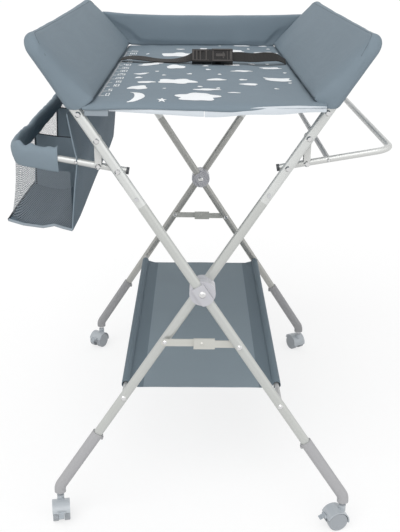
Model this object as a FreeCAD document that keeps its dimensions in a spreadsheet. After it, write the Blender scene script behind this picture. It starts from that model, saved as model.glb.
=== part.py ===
import FreeCAD, Part
import math
import os
import re
import Sketcher

# A folding changing table: two crossing tube frames that turn on a pair of
# hub bolts, a padded top with raised sides, a hanging bag on the left, a
# towel rack on the right, a fabric shelf below and four braked castors.
# Millimetres. X to the right, Y away from the user, Z up. The origin is on
# the floor under the middle of the table.

os.makedirs("parts", exist_ok=True)
doc = FreeCAD.newDocument("ChangingTable")

SIZES = {
    # frame
    "hub_height": 534.0,       # floor to the hub bolts
    "half_angle": 33.0,        # lean of each leg from upright, in degrees
    "frame_spacing": 820.0,    # front leg to rear leg of one frame
    "leg_gap": 30.0,           # between the planes of the two frames
    "leg_width": 19.0,
    "leg_depth": 14.0,
    "leg_wall": 1.2,
    "tube_wall": 1.0,
    # distances from the hub along a leg
    "top_reach": 553.0,
    "seat_reach": 404.0,
    "strap_reach": 348.0,
    "arm_reach": 282.0,
    "button_reach": 222.0,
    "seam_reach": 205.0,
    "stay_reach": 134.0,
    "shelf_reach": 290.0,
    "sleeve_reach": 391.0,
    "bend_reach": 549.0,
    # tube ends
    "tube_bend": 35.0,
    "spigot_length": 45.0,
    "sleeve_wall": 2.5,
    "sleeve_overlap": 45.0,
    "sleeve_play": 0.2,
    "sleeve_bend": 26.0,
    "sleeve_foot": 60.0,       # floor to the lower end of a leg end
    # fasteners
    "bolt_radius": 3.0,
    "bolt_play": 0.1,
    "head_radius": 5.5,
    "head_height": 2.6,
    "bolt_end": 12.0,          # of a blind bolt, past the leg's inner face
    "screw_radius": 1.8,       # holds a cross bar between two arms
    "screw_end": 10.0,
    "turning_play": 0.05,      # radial play of everything that turns
    "face_play": 0.3,          # side play between pieces that pass each other
    # hub
    "hub_radius": 25.0,
    "hub_bolt_radius": 4.0,
    "hub_band": 25.0,
    "hub_cover": 3.0,
    "hub_recess": 4.0,         # disc face below the leg's outer face
    "hub_chamfer": 1.2,
    "hub_step": 1.5,
    "hub_band_low": 32.0,      # band ends, from the hub along the leg
    "hub_band_high": 18.0,
    # rods, racks and straps
    "rod_radius": 5.0,
    "rod_bore": 3.2,
    "rack_rise": 10.0,         # upward lean of the racks, in degrees
    "rack_reach": 194.0,       # leg bolt to the outer rail
    "rack_tail": 14.0,
    "rack_bend": 28.0,
    "arm_radius": 6.0,
    "arm_wall": 1.0,
    "bar_reach": 77.0,         # leg bolt to the cross bar
    "bar_radius": 5.0,
    "plate_width": 12.0,
    "plate_thickness": 2.0,
    "cap_length": 5.0,
    # stays
    "link_width": 15.0,
    "link_thickness": 2.5,
    "link_box": 22.0,
    "link_rim": 2.0,
    "rivet_radius": 2.5,
    # top
    "pad_side": 190.0,         # half width of the flat pad
    "pad_rise": 24.17709,      # side rods to the top of the pad
    "pad_thickness": 21.0,
    "front_lip": 28.0,         # of the pad, beyond the leg planes
    "rear_lip": 14.0,
    "bolster_lip": 30.0,
    "bolster_inner": 40.0,     # leg line to the bolster's inner foot
    "bolster_outer": 13.0,     # leg line to the bolster's outer face
    "bolster_foot": 410.0,     # hub to the bolster's inner foot, along the leg
    "bolster_radius": 18.0,
    "bolster_play": 0.6,
    "rear_height": 78.0,
    "rear_thickness": 15.0,
    "board_width": 197.0,
    "board_thickness": 5.0,
    "board_clear": 46.0,       # leg planes to the ends of the boards
    "hook_radius": 8.0,
    "hook_length": 26.0,
    # shelf
    "shelf_depth": 28.0,
    "shelf_edge": 9.0,
    "shelf_slope": 17.0,
    "shelf_front_clear": 75.0, # leg planes to the edges of the shelf
    "shelf_rear_clear": 26.0,
    "shelf_thickness": 3.0,
    # bag
    "bag_inner": 240.0,        # middle of the table to the inner wall
    "bag_outer": 356.0,
    "bag_flare": 6.0,
    "bag_floor": 655.0,
    "bag_wall": 2.5,
    "bag_back": 866.0,
    # strap and buckle
    "strap_width": 25.0,
    "strap_thickness": 1.6,
    "strap_seam_left": 100.0,  # behind the middle of the table
    "strap_seam_right": 58.0,
    "strap_lift": 2.2,         # above the pad, at the seams
    "strap_bite": 6.0,
    "buckle_left": 20.0,
    "buckle_length": 47.0,
    "buckle_width": 36.0,
    "buckle_height": 11.0,
    "buckle_corner": 4.0,      # side wall beside the prongs
    "buckle_front": 16.0,
    "buckle_gap": 2.4,         # above the pad
    "buckle_lean": 45.0,       # up from lying flat, in degrees
    "window_start": 8.0,
    "window_length": 12.0,
    "tongue_length": 66.0,
    "tongue_reach": 22.0,
    "tongue_skin": 1.0,        # thinner than the buckle, on each face
    "tongue_groove": 1.2,
    "tongue_bar": 5.0,
    "prong_width": 5.0,
    "buckle_wall": 1.8,
    "buckle_play": 0.3,
    # castors
    "wheel_radius": 21.0,
    "wheel_inner": 6.0,        # castor middle to a wheel's inner face
    "wheel_outer": 18.0,
    "trail": 14.0,
    "hood_gap": 1.3,
    "hood_wall": 2.3,
    "hood_half": 18.5,
    "stem_radius": 4.0,
    "stem_depth": 18.0,
    "stem_seat": 22.0,
    "stem_collar": 2.5,
    "collar_height": 3.0,
    "castor_top": 52.0,
    "axle_radius": 2.5,
    "pedal_radius": 2.6,
    "pedal_pin": 1.2,
    "pedal_length": 13.0,
    "pedal_width": 11.2,
    "pedal_thickness": 2.8,
    "pedal_tilt": 25.0,
    "ear_thickness": 2.4,
    "ear_root": 6.0,
    "boss_height": 14.0,
    "boss_wall": 3.5,
    "cheek_radius": 9.0,
    "hood_open": 16.0,         # axle to the hood's open back, along the trail
    # snap buttons
    "button_radius": 3.5,
    "button_proud": 2.6,
    "leaf_width": 8.0,
    "leaf_length": 16.0,
    "leaf_thickness": 1.0,
}

sheet = doc.addObject("Spreadsheet::Sheet", "Sizes")
for row, (alias, number) in enumerate(SIZES.items(), start=1):
    sheet.set(f"A{row}", alias)
    sheet.set(f"B{row}", str(number))
    sheet.setAlias(f"B{row}", alias)
doc.recompute()

WORDS = re.compile(r"[a-z]+(?:_[a-z]+)*")

# lengths and heights that follow from the frame they fit
TIED = {
    "pad_top": "(hub_height + seat_reach * cos(half_angle) + pad_rise)",
    "board_half": "(frame_spacing / 2 - board_clear)",
    "shelf_front": "(frame_spacing / 2 - shelf_front_clear)",
    "shelf_rear": "(frame_spacing / 2 - shelf_rear_clear)",
    "top_front": "(frame_spacing / 2 + front_lip)",
    "top_rear": "(frame_spacing / 2 + rear_lip)",
    "bolster_end": "(frame_spacing / 2 + bolster_lip)",
    "sleeve_width": "(leg_width + 2 * sleeve_wall)",
    "sleeve_depth": "(leg_depth + 2 * sleeve_wall)",
}
RIGHT = 1
LEFT = -1
FRONT = -1
REAR = 1


def formula(text):
    """Write a formula of plain aliases as an expression on the sheet."""
    text = WORDS.sub(lambda m: TIED.get(m.group(0), m.group(0)), text)
    return WORDS.sub(lambda m: "Sizes." + m.group(0) if m.group(0) in SIZES else m.group(0), text)


def bind(thing, prop, text):
    """Tie one property to a formula of aliases."""
    thing.setExpression(prop, formula(str(text)))


def number(text):
    """Work a formula out now, for the first guess of a sketch."""
    probe = sheet.evalExpression(formula(str(text)))
    return float(getattr(probe, "Value", probe))


def place(thing, x="0", y="0", z="0", axis=None, angle="0"):
    """Tie a placement to formulas, with a turn about one axis."""
    if axis:
        thing.Placement = FreeCAD.Placement(FreeCAD.Vector(), FreeCAD.Rotation(FreeCAD.Vector(*axis), 1))
        bind(thing, "Placement.Rotation.Angle", angle)
    bind(thing, "Placement.Base.x", x)
    bind(thing, "Placement.Base.y", y)
    bind(thing, "Placement.Base.z", z)
    return thing


def side_name(side):
    return "right" if side == RIGHT else "left"


def end_name(end):
    return "front" if end == FRONT else "rear"


def leg_plane(side, end):
    """Y of one leg's middle plane."""
    return f"({end} * frame_spacing / 2 + {side} * leg_gap / 2)"


def on_leg(side, along):
    """X and Z of a point on a leg's middle line, from its distance to the hub."""
    x = f"({side} * ({along}) * sin(half_angle))"
    z = f"(hub_height + ({along}) * cos(half_angle))"
    return x, z


# ---- solids -----------------------------------------------------------------


def box(name, x, y, z, dx, dy, dz):
    thing = doc.addObject("Part::Box", name)
    bind(thing, "Length", dx)
    bind(thing, "Width", dy)
    bind(thing, "Height", dz)
    return place(thing, x, y, z)


def post(name, x, y, z, radius, height):
    thing = doc.addObject("Part::Cylinder", name)
    bind(thing, "Radius", radius)
    bind(thing, "Height", height)
    return place(thing, x, y, z)


def pin(name, x, y, z, radius, length):
    """A cylinder along +Y that starts at y."""
    thing = doc.addObject("Part::Cylinder", name)
    bind(thing, "Radius", radius)
    bind(thing, "Height", length)
    return place(thing, x, y, z, (1, 0, 0), "-90")


def dome(name, x, y, z, radius, length, way):
    """A shallow rounded head along Y, widest at y, that narrows the given way."""
    thing = doc.addObject("Part::Cone", name)
    bind(thing, "Radius1", radius)
    bind(thing, "Radius2", f"({radius}) * 0.62")
    bind(thing, "Height", length)
    return place(thing, x, y, z, (1, 0, 0), f"{-90 * way}")


def join(label, pieces):
    thing = doc.addObject("Part::MultiFuse", label)
    thing.Shapes = pieces
    thing.Label = label
    return thing


def cut(label, base, tools):
    thing = doc.addObject("Part::Cut", label)
    thing.Base = base
    thing.Tool = tools[0] if len(tools) == 1 else join(label + "_tools", tools)
    thing.Label = label
    return thing


# ---- sketches ---------------------------------------------------------------


def new_body(label):
    body = doc.addObject("PartDesign::Body", label)
    body.Label = label
    return body


def sketch_on(body, name, role, offset="0"):
    sk = body.newObject("Sketcher::SketchObject", name)
    plane = [f for f in body.Origin.OriginFeatures if f.Role == role][0]
    sk.AttachmentSupport = [(plane, "")]
    sk.MapMode = "FlatFace"
    bind(sk, "AttachmentOffset.Base.z", offset)
    return sk


def fix_point(sk, geo, pos, x, y):
    """Hold one point of a sketch at a pair of formulas."""
    i = sk.addConstraint(Sketcher.Constraint("DistanceX", -1, 1, geo, pos, number(x)))
    bind(sk, f"Constraints[{i}]", x)
    i = sk.addConstraint(Sketcher.Constraint("DistanceY", -1, 1, geo, pos, number(y)))
    bind(sk, f"Constraints[{i}]", y)


def draw_circle(sk, x, y, radius):
    centre = FreeCAD.Vector(number(x), number(y), 0)
    geo = sk.addGeometry(Part.Circle(centre, FreeCAD.Vector(0, 0, 1), number(radius)))
    fix_point(sk, geo, 3, x, y)
    i = sk.addConstraint(Sketcher.Constraint("Radius", geo, number(radius)))
    bind(sk, f"Constraints[{i}]", radius)


def draw_line(sk, start, finish):
    a = FreeCAD.Vector(number(start[0]), number(start[1]), 0)
    b = FreeCAD.Vector(number(finish[0]), number(finish[1]), 0)
    geo = sk.addGeometry(Part.LineSegment(a, b))
    fix_point(sk, geo, 1, *start)
    fix_point(sk, geo, 2, *finish)
    return geo


def draw_slot(sk, width, depth, x="0", y="0"):
    """A flat-oval outline: width along the sketch's x, depth along its y."""
    half = f"({width} - ({depth})) / 2"
    first, last = f"{x} - ({half})", f"{x} + {half}"
    low_y, high_y = f"{y} - ({depth}) / 2", f"{y} + ({depth}) / 2"
    top = draw_line(sk, (last, high_y), (first, high_y))
    low = draw_line(sk, (first, low_y), (last, low_y))
    turns = ((first, top, low, 0.5), (last, low, top, 1.5))
    for centre_x, before, after, turn in turns:
        centre = FreeCAD.Vector(number(centre_x), number(y), 0)
        circle = Part.Circle(centre, FreeCAD.Vector(0, 0, 1), number(depth) / 2)
        arc = sk.addGeometry(Part.ArcOfCircle(circle, turn * math.pi, (turn + 1) * math.pi))
        sk.addConstraint(Sketcher.Constraint("Coincident", arc, 1, before, 2))
        sk.addConstraint(Sketcher.Constraint("Coincident", arc, 2, after, 1))
        i = sk.addConstraint(Sketcher.Constraint("DistanceX", -1, 1, arc, 3, number(centre_x)))
        bind(sk, f"Constraints[{i}]", centre_x)


def draw_polygon(sk, corners):
    """A closed outline through corners given as pairs of formulas."""
    lines = []
    for start, finish in zip(corners, corners[1:] + corners[:1]):
        a = FreeCAD.Vector(number(start[0]), number(start[1]), 0)
        b = FreeCAD.Vector(number(finish[0]), number(finish[1]), 0)
        lines.append(sk.addGeometry(Part.LineSegment(a, b)))
        fix_point(sk, lines[-1], 1, *start)
    for before, after in zip(lines, lines[1:] + lines[:1]):
        sk.addConstraint(Sketcher.Constraint("Coincident", before, 2, after, 1))


def draw_bent_path(sk, stretches, bends):
    """Straight stretches joined by arcs; each bend gives its centre and radius."""
    lines = [draw_line(sk, start, finish) for start, finish in stretches]
    for (centre, radius, turn), before, after in zip(bends, lines, lines[1:]):
        c = FreeCAD.Vector(number(centre[0]), number(centre[1]), 0)
        circle = Part.Circle(c, FreeCAD.Vector(0, 0, 1), number(radius))
        a = sk.getPoint(before, 2) - c
        b = sk.getPoint(after, 1) - c
        ends = [(before, 2, a), (after, 1, b)]
        if turn < 0:
            ends.reverse()
        first, second = [polar(v) for _, _, v in ends]
        if second < first:
            second += 2 * math.pi
        arc = sk.addGeometry(Part.ArcOfCircle(circle, first, second))
        sk.addConstraint(Sketcher.Constraint("Coincident", arc, 1, ends[0][0], ends[0][1]))
        sk.addConstraint(Sketcher.Constraint("Coincident", arc, 2, ends[1][0], ends[1][1]))
        i = sk.addConstraint(Sketcher.Constraint("Radius", arc, number(radius)))
        bind(sk, f"Constraints[{i}]", radius)


def polar(v):
    angle = FreeCAD.Vector(1, 0, 0).getAngle(v)
    return angle if v.y >= 0 else -angle


def pad(body, sk, length, middle=False):
    thing = body.newObject("PartDesign::Pad", sk.Name + "_pad")
    thing.Profile = sk
    bind(thing, "Length", length)
    thing.Midplane = middle
    body.Tip = thing
    return thing


def holes_across(body, name, spots):
    """Round holes right through a body along its Y, at (x, z, radius)."""
    sk = sketch_on(body, name, "XZ_Plane")
    for x, z, radius in spots:
        draw_circle(sk, x, z, radius)
    thing = body.newObject("PartDesign::Pocket", name + "_cut")
    thing.Profile = sk
    thing.Type = 1
    thing.Midplane = True
    body.Tip = thing
    return thing


def pipe(body, kind, profile, path):
    thing = body.newObject("PartDesign::" + kind, path.Name + "_pipe")
    thing.Profile = profile
    thing.Spine = (path, [])
    body.Tip = thing
    return thing


def stand_on_leg(body, side, end):
    """Turn a body so that its local Z runs up a leg from the hub."""
    return place(body, "0", leg_plane(side, end), "hub_height", (0, 1, 0), f"{side} * half_angle")


nodes = []


def keep(thing):
    nodes.append(thing)
    return thing


# ---- frames -----------------------------------------------------------------


def leg(side, end):
    """Flat-oval steel leg with a narrower spigot that plugs into the U tube."""
    name = f"leg_{end_name(end)}_{side_name(side)}"
    body = new_body(name)
    bore_width = "leg_width - 2 * leg_wall"
    bore_depth = "leg_depth - 2 * leg_wall"
    tube = sketch_on(body, name + "_tube", "XY_Plane", "-(sleeve_reach + sleeve_overlap)")
    draw_slot(tube, "leg_width", "leg_depth")
    draw_slot(tube, bore_width, bore_depth)
    pad(body, tube, "sleeve_reach + sleeve_overlap + seam_reach")
    spigot = sketch_on(body, name + "_spigot", "XY_Plane", "seam_reach - spigot_length / 2")
    draw_slot(spigot, bore_width, bore_depth)
    draw_slot(spigot, f"{bore_width} - 2 * leg_wall", f"{bore_depth} - 2 * leg_wall")
    pad(body, spigot, "spigot_length * 1.5")
    bolt_hole = "bolt_radius + bolt_play"
    spots = [("0", "0", "hub_bolt_radius + turning_play")]
    spots += [("0", "-stay_reach", bolt_hole), ("0", "-shelf_reach", bolt_hole)]
    holes_across(body, name + "_holes", spots)
    press = sketch_on(body, name + "_press", "XZ_Plane")
    draw_circle(press, "0", "button_reach", "button_radius + turning_play")
    hole = body.newObject("PartDesign::Pocket", name + "_button_hole")
    hole.Profile = press
    hole.Type = 1
    hole.Reversed = True
    body.Tip = hole
    stand_on_leg(body, side, end)
    return keep(body)


def u_tube(side):
    """Upper tube: up from the front leg, along the side and down to the rear leg."""
    name = f"u_tube_{side_name(side)}"
    body = new_body(name)
    half = "frame_spacing / 2"
    profile = sketch_on(body, name + "_profile", "XY_Plane", "seam_reach")
    draw_slot(profile, "leg_width", "leg_depth", "0", f"-{half}")
    draw_slot(profile, "leg_width - 2 * tube_wall", "leg_depth - 2 * tube_wall", "0", f"-{half}")
    path = sketch_on(body, name + "_path", "YZ_Plane")
    draw_u_path(path)
    pipe(body, "AdditivePipe", profile, path)
    bolt_hole = "bolt_radius + bolt_play"
    spots = [("0", f"{at}_reach", bolt_hole) for at in ("seat", "strap", "arm")]
    holes_across(body, name + "_holes", spots)
    for end in (FRONT, REAR):
        press = sketch_on(body, f"{name}_{end_name(end)}_press", "XZ_Plane", f"-({end}) * {half}")
        draw_circle(press, "0", "button_reach", "button_radius + turning_play")
        hole = body.newObject("PartDesign::Pocket", f"{name}_{end_name(end)}_button_hole")
        hole.Profile = press
        bind(hole, "Length", "leg_depth")
        hole.Reversed = True
        body.Tip = hole
    place(body, "0", f"{side} * leg_gap / 2", "hub_height", (0, 1, 0), f"{side} * half_angle")
    return keep(body)


def draw_u_path(sk):
    half = "frame_spacing / 2"
    stretches = [
        ((f"-{half}", "seam_reach"), (f"-{half}", "top_reach - tube_bend")),
        ((f"-{half} + tube_bend", "top_reach"), (f"{half} - tube_bend", "top_reach")),
        ((half, "top_reach - tube_bend"), (half, "seam_reach")),
    ]
    bends = [
        ((f"-{half} + tube_bend", "top_reach - tube_bend"), "tube_bend", -1),
        ((f"{half} - tube_bend", "top_reach - tube_bend"), "tube_bend", -1),
    ]
    draw_bent_path(sk, stretches, bends)


def leg_end(side, end):
    """Moulded end that a leg plugs into, bent upright over its castor."""
    name = f"leg_end_{end_name(end)}_{side_name(-side)}"
    body = new_body(name)
    profile = sketch_on(body, name + "_profile", "XY_Plane", "-sleeve_reach")
    draw_slot(profile, "sleeve_width", "sleeve_depth")
    path = sketch_on(body, name + "_path", "XZ_Plane")
    back = "sleeve_bend * tan(half_angle / 2)"
    drop = "(hub_height - bend_reach * cos(half_angle) - sleeve_foot)"
    stretches = [
        (("0", "-sleeve_reach"), ("0", f"-bend_reach + {back}")),
        (
            (f"{side} * {back} * sin(half_angle)", f"-bend_reach - {back} * cos(half_angle)"),
            (f"{side} * {drop} * sin(half_angle)", f"-bend_reach - {drop} * cos(half_angle)"),
        ),
    ]
    bends = [((f"{side} * sleeve_bend", f"-bend_reach + {back}"), "sleeve_bend", side)]
    draw_bent_path(path, stretches, bends)
    pipe(body, "AdditivePipe", profile, path)
    socket = sketch_on(body, name + "_socket", "XY_Plane", "-sleeve_reach")
    draw_slot(socket, "leg_width + 2 * sleeve_play", "leg_depth + 2 * sleeve_play")
    hollow = body.newObject("PartDesign::Pocket", name + "_hollow")
    hollow.Profile = socket
    bind(hollow, "Length", "sleeve_overlap + face_play")
    body.Tip = hollow
    stand_on_leg(body, side, end)
    x, z = on_leg(side, "-bend_reach")
    y = leg_plane(side, end)
    fit = "stem_radius + turning_play"
    bore = post(name + "_stem_bore", x, y, "sleeve_foot - 1", fit, "stem_seat + 1")
    nub_x, nub_z = on_leg(side, "-sleeve_reach - 6")
    out = f"{side} * (sleeve_width / 2 + 0.5)"
    nub = pin(
        name + "_nub",
        f"{nub_x} + {out} * cos(half_angle)",
        f"{y} - 4",
        f"{nub_z} - (sleeve_width / 2 + 0.5) * sin(half_angle)",
        "3",
        "8",
    )
    return keep(cut(name + "_piece", join(name + "_solid", [body, nub]), [bore]))


def bolt(name, x, z, start, finish, way):
    """A domed bolt along Y from face to face, its head on the outer side."""
    shank = pin(name + "_shank", x, start, z, "bolt_radius", f"({finish}) - ({start})")
    head = dome(name + "_head", x, start if way < 0 else finish, z, "head_radius", "head_height", way)
    nut_at = finish if way < 0 else start
    nut = dome(name + "_nut", x, nut_at, z, "head_radius * 0.85", "head_height", -way)
    return [shank, head, nut]


def frame_bolts(side):
    """All bolts of one frame, as one group of separate fasteners."""
    pieces = []
    for end in (FRONT, REAR):
        y = leg_plane(side, end)
        tag = f"bolt_{side_name(side)}_{end_name(end)}"
        outer = f"{y} + {end} * (leg_depth / 2)"
        deep = f"{y} - {end} * (leg_depth / 2 + bolt_end)"
        for at, along in (("seat", "seat_reach"), ("shelf", "-shelf_reach")):
            x, z = on_leg(side, along)
            first, last = (outer, deep) if end == FRONT else (deep, outer)
            shank = pin(f"{tag}_{at}_shank", x, first, z, "bolt_radius", f"({last}) - ({first})")
            head = dome(f"{tag}_{at}_head", x, outer, z, "head_radius", "head_height", end)
            pieces += [join(f"{tag}_{at}", [shank, head])]
        arm_out = f"{far_plate(side, end)} - {end} * plate_thickness"
        for at, along in (("strap", "strap_reach"), ("arm", "arm_reach")):
            x, z = on_leg(side, along)
            first, last = (outer, arm_out) if end == FRONT else (arm_out, outer)
            pieces += [join(f"{tag}_{at}", bolt(f"{tag}_{at}_b", x, z, first, last, end))]
        plate_in = f"{y} - {end} * (leg_depth / 2 + face_play / 2)"
        first, last = (plate_in, arm_out) if end == FRONT else (arm_out, plate_in)
        for at, out in (("low", strap_foot(side)), ("bar", bar_spot(side))):
            if at == "bar":
                x, z = out
                face = f"{y} - {end} * (leg_depth / 2 + face_play + plate_thickness)"
                back = f"{far_plate(side, end)} - {end} * screw_end"
                low, high = (face, back) if end == FRONT else (back, face)
                shank = pin(f"{tag}_{at}_shank", x, low, z, "screw_radius", f"({high}) - ({low})")
                head = dome(f"{tag}_{at}_head", x, face, z, "screw_radius * 1.8", "screw_radius", end)
                pieces += [join(f"{tag}_{at}", [shank, head])]
            else:
                pieces += [join(f"{tag}_{at}", bolt(f"{tag}_{at}_b", out[0], out[1], first, last, end))]
    return keep(join(f"bolts_{side_name(side)}", pieces + stay_bolts(side)))


def rack_point(side, out):
    """X and Z of a point on a rack's plane, from its distance to the leg bolt."""
    x, z = on_leg(side, "arm_reach")
    return f"({x} + {side} * ({out}) * cos(rack_rise))", f"({z} + ({out}) * sin(rack_rise))"


def strap_foot(side):
    """Where the strap plates, which hang plumb, meet the rack's arm."""
    return rack_point(side, "(strap_reach - arm_reach) * sin(half_angle) / cos(rack_rise)")


def bar_spot(side):
    return rack_point(side, "bar_reach")


def arm_plane(side, end):
    """Y of a rack arm's middle line, on the inner side of its leg."""
    inward = "(leg_depth / 2 + 2 * face_play + plate_thickness + arm_radius)"
    return f"({leg_plane(side, end)} - {end} * {inward})"


def far_plate(side, end):
    """Y of the near face of the strap plate beyond a rack arm."""
    return f"({arm_plane(side, end)} - {end} * arm_radius)"


def rack(side, label):
    """A bent tube from the front leg, along the side and back to the rear leg."""
    body = new_body(label)
    front = f"({arm_plane(side, FRONT)})"
    rear = f"({arm_plane(side, REAR)})"
    profile = sketch_on(body, label + "_profile", "YZ_Plane", f"-({side}) * rack_tail")
    draw_circle(profile, front, "0", "arm_radius")
    draw_circle(profile, front, "0", "arm_radius - arm_wall")
    path = sketch_on(body, label + "_path", "XY_Plane")
    tail = f"-({side}) * rack_tail"
    near = f"{side} * (rack_reach - rack_bend)"
    rail = f"{side} * rack_reach"
    stretches = [
        ((tail, front), (near, front)),
        ((rail, f"{front} + rack_bend"), (rail, f"{rear} - rack_bend")),
        ((near, rear), (tail, rear)),
    ]
    bends = [
        ((near, f"{front} + rack_bend"), "rack_bend", side),
        ((near, f"{rear} - rack_bend"), "rack_bend", side),
    ]
    draw_bent_path(path, stretches, bends)
    pipe(body, "AdditivePipe", profile, path)
    hole = "bolt_radius + bolt_play"
    plumb = f"{side} * (strap_reach - arm_reach) * sin(half_angle) / cos(rack_rise)"
    spots = [("0", "0", hole), (plumb, "0", hole)]
    spots.append((f"{side} * bar_reach", "0", "screw_radius + bolt_play"))
    holes_across(body, label + "_holes", spots)
    x, z = on_leg(side, "arm_reach")
    place(body, x, "0", z, (0, 1, 0), f"-({side}) * rack_rise")
    return keep(body)


def cross_bar(side, label):
    """A straight tube between the two arms of a rack."""
    x, z = bar_spot(side)
    start = f"{arm_plane(side, FRONT)} + arm_radius + face_play"
    length = f"({arm_plane(side, REAR)}) - ({arm_plane(side, FRONT)}) - 2 * (arm_radius + face_play)"
    tube = pin(label + "_tube", x, start, z, "bar_radius", length)
    bore = pin(label + "_bore", x, f"{start} - 1", z, "screw_radius + bolt_play", f"({length}) + 2")
    return keep(cut(label, tube, [bore]))


def strap_plates(side):
    """Two plates at each end of a rack that hold it level below the leg."""
    pieces = []
    top_x, top_z = on_leg(side, "strap_reach")
    low_x, low_z = strap_foot(side)
    for end in (FRONT, REAR):
        near = f"{leg_plane(side, end)} - {end} * (leg_depth / 2 + face_play / 2)"
        for which, face in (("near", near), ("far", far_plate(side, end))):
            tag = f"plate_{side_name(side)}_{end_name(end)}_{which}"
            start = face if end == FRONT else f"{face} - plate_thickness"
            strip = box(
                tag + "_strip",
                f"{top_x} - plate_width / 2",
                start,
                low_z,
                "plate_width",
                "plate_thickness",
                f"{top_z} - {low_z}",
            )
            ears = [pin(tag + "_top", top_x, start, top_z, "plate_width / 2", "plate_thickness")]
            ears += [pin(tag + "_low", low_x, start, low_z, "plate_width / 2", "plate_thickness")]
            hole, depth = "bolt_radius + bolt_play", "plate_thickness + 2"
            bores = [
                pin(f"{tag}_bore_{i}", x, f"{start} - 1", z, hole, depth)
                for i, (x, z) in enumerate(((top_x, top_z), (low_x, low_z)))
            ]
            pieces.append(cut(tag, join(tag + "_solid", [strip] + ears), bores))
    return keep(join(f"strap_plates_{side_name(side)}", pieces))


def arm_caps(side):
    """Black plugs in the inner ends of the two arms."""
    pieces = []
    for end in (FRONT, REAR):
        tag = f"cap_{side_name(side)}_{end_name(end)}"
        x, z = rack_point(side, "-rack_tail")
        flange = doc.addObject("Part::Cylinder", tag + "_flange")
        bind(flange, "Radius", "arm_radius + 0.6")
        bind(flange, "Height", "cap_length")
        place(flange, x, arm_plane(side, end), z, (0, 1, 0), f"{side} * (-90 - rack_rise)")
        stub = doc.addObject("Part::Cylinder", tag + "_stub")
        bind(stub, "Radius", "arm_radius - arm_wall - 0.1")
        bind(stub, "Height", "cap_length")
        place(stub, x, arm_plane(side, end), z, (0, 1, 0), f"{side} * (90 - rack_rise)")
        pieces.append(join(tag, [flange, stub]))
    return keep(join(f"arm_caps_{side_name(side)}", pieces))


def side_rod(side, label, along):
    """A plain tube from the front leg to the rear leg of one frame."""
    x, z = on_leg(side, along)
    start = f"{leg_plane(side, FRONT)} + leg_depth / 2"
    length = "frame_spacing - leg_depth"
    tube = pin(label + "_tube", x, start, z, "rod_radius", length)
    bore = pin(label + "_bore", x, f"{start} - 1", z, "rod_bore", f"{length} + 2")
    return keep(cut(label, tube, [bore]))


def hub_discs(side):
    """The moulded hub halves of one frame, front and rear, clamped on its legs."""
    pieces = []
    for end in (FRONT, REAR):
        tag = f"hub_{side_name(side)}_{end_name(end)}"
        y = leg_plane(side, end)
        inward = -side
        mid = f"({y} + {inward} * (leg_gap / 2 - face_play))"
        face = f"({y} - {inward} * (leg_depth / 2 - hub_recess))"
        cover = f"({y} - {inward} * (leg_depth / 2 + hub_cover))"
        low, high = (mid, face) if inward < 0 else (face, mid)
        disc = pin(tag + "_disc", "0", low, "hub_height", "hub_radius", f"({high}) - ({low})")
        rim = doc.addObject("Part::Chamfer", tag + "_rim")
        rim.Base = disc
        rim.Edges = [(edge, SIZES["hub_chamfer"], SIZES["hub_chamfer"]) for edge in (1, 3)]
        low, high = (mid, cover) if inward < 0 else (cover, mid)
        drum = pin(tag + "_drum", "0", low, "hub_height", "hub_radius - hub_step", f"({high}) - ({low})")
        lean = f"{side} * half_angle"
        foot_x = f"-(hub_band / 2) * cos({lean}) - hub_band_low * sin({lean})"
        foot_z = f"hub_height + (hub_band / 2) * sin({lean}) - hub_band_low * cos({lean})"
        band = box(
            tag + "_band", "0", "0", "0",
            "hub_band", "4 * leg_gap", "hub_band_low + hub_band_high",
        )
        place(band, foot_x, f"{y} - 2 * leg_gap", foot_z, (0, 1, 0), lean)
        raised = doc.addObject("Part::MultiCommon", tag + "_raised")
        raised.Shapes = [drum, band]
        channel = new_body(tag + "_channel")
        sk = sketch_on(channel, tag + "_channel_sk", "XY_Plane", "-2 * hub_radius")
        draw_slot(sk, "leg_width + 2 * turning_play", "leg_depth + 2 * turning_play")
        pad(channel, sk, "4 * hub_radius")
        stand_on_leg(channel, side, end)
        fit = "hub_bolt_radius + turning_play"
        bore = pin(tag + "_bore", "0", f"{y} - leg_gap", "hub_height", fit, "2 * leg_gap")
        pieces.append(cut(tag, join(tag + "_solid", [rim, raised]), [channel, bore]))
    return keep(join(f"hub_discs_{side_name(side)}", pieces))


def castor_stems(side):
    """The steel stems pressed into the two leg ends of one frame."""
    pieces = []
    for end in (FRONT, REAR):
        tag = f"stem_{side_name(side)}_{end_name(end)}"
        x, _ = on_leg(side, "-bend_reach")
        y = leg_plane(side, end)
        shaft = post(
            tag + "_shaft", x, y, "castor_top - stem_depth", "stem_radius",
            "sleeve_foot + stem_seat - 1 - castor_top + stem_depth",
        )
        wide = "stem_radius + stem_collar"
        collar = post(tag + "_collar", x, y, "sleeve_foot - collar_height", wide, "collar_height")
        pieces.append(join(tag, [shaft, collar]))
    return keep(join(f"castor_stems_{side_name(-side)}", pieces))


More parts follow.
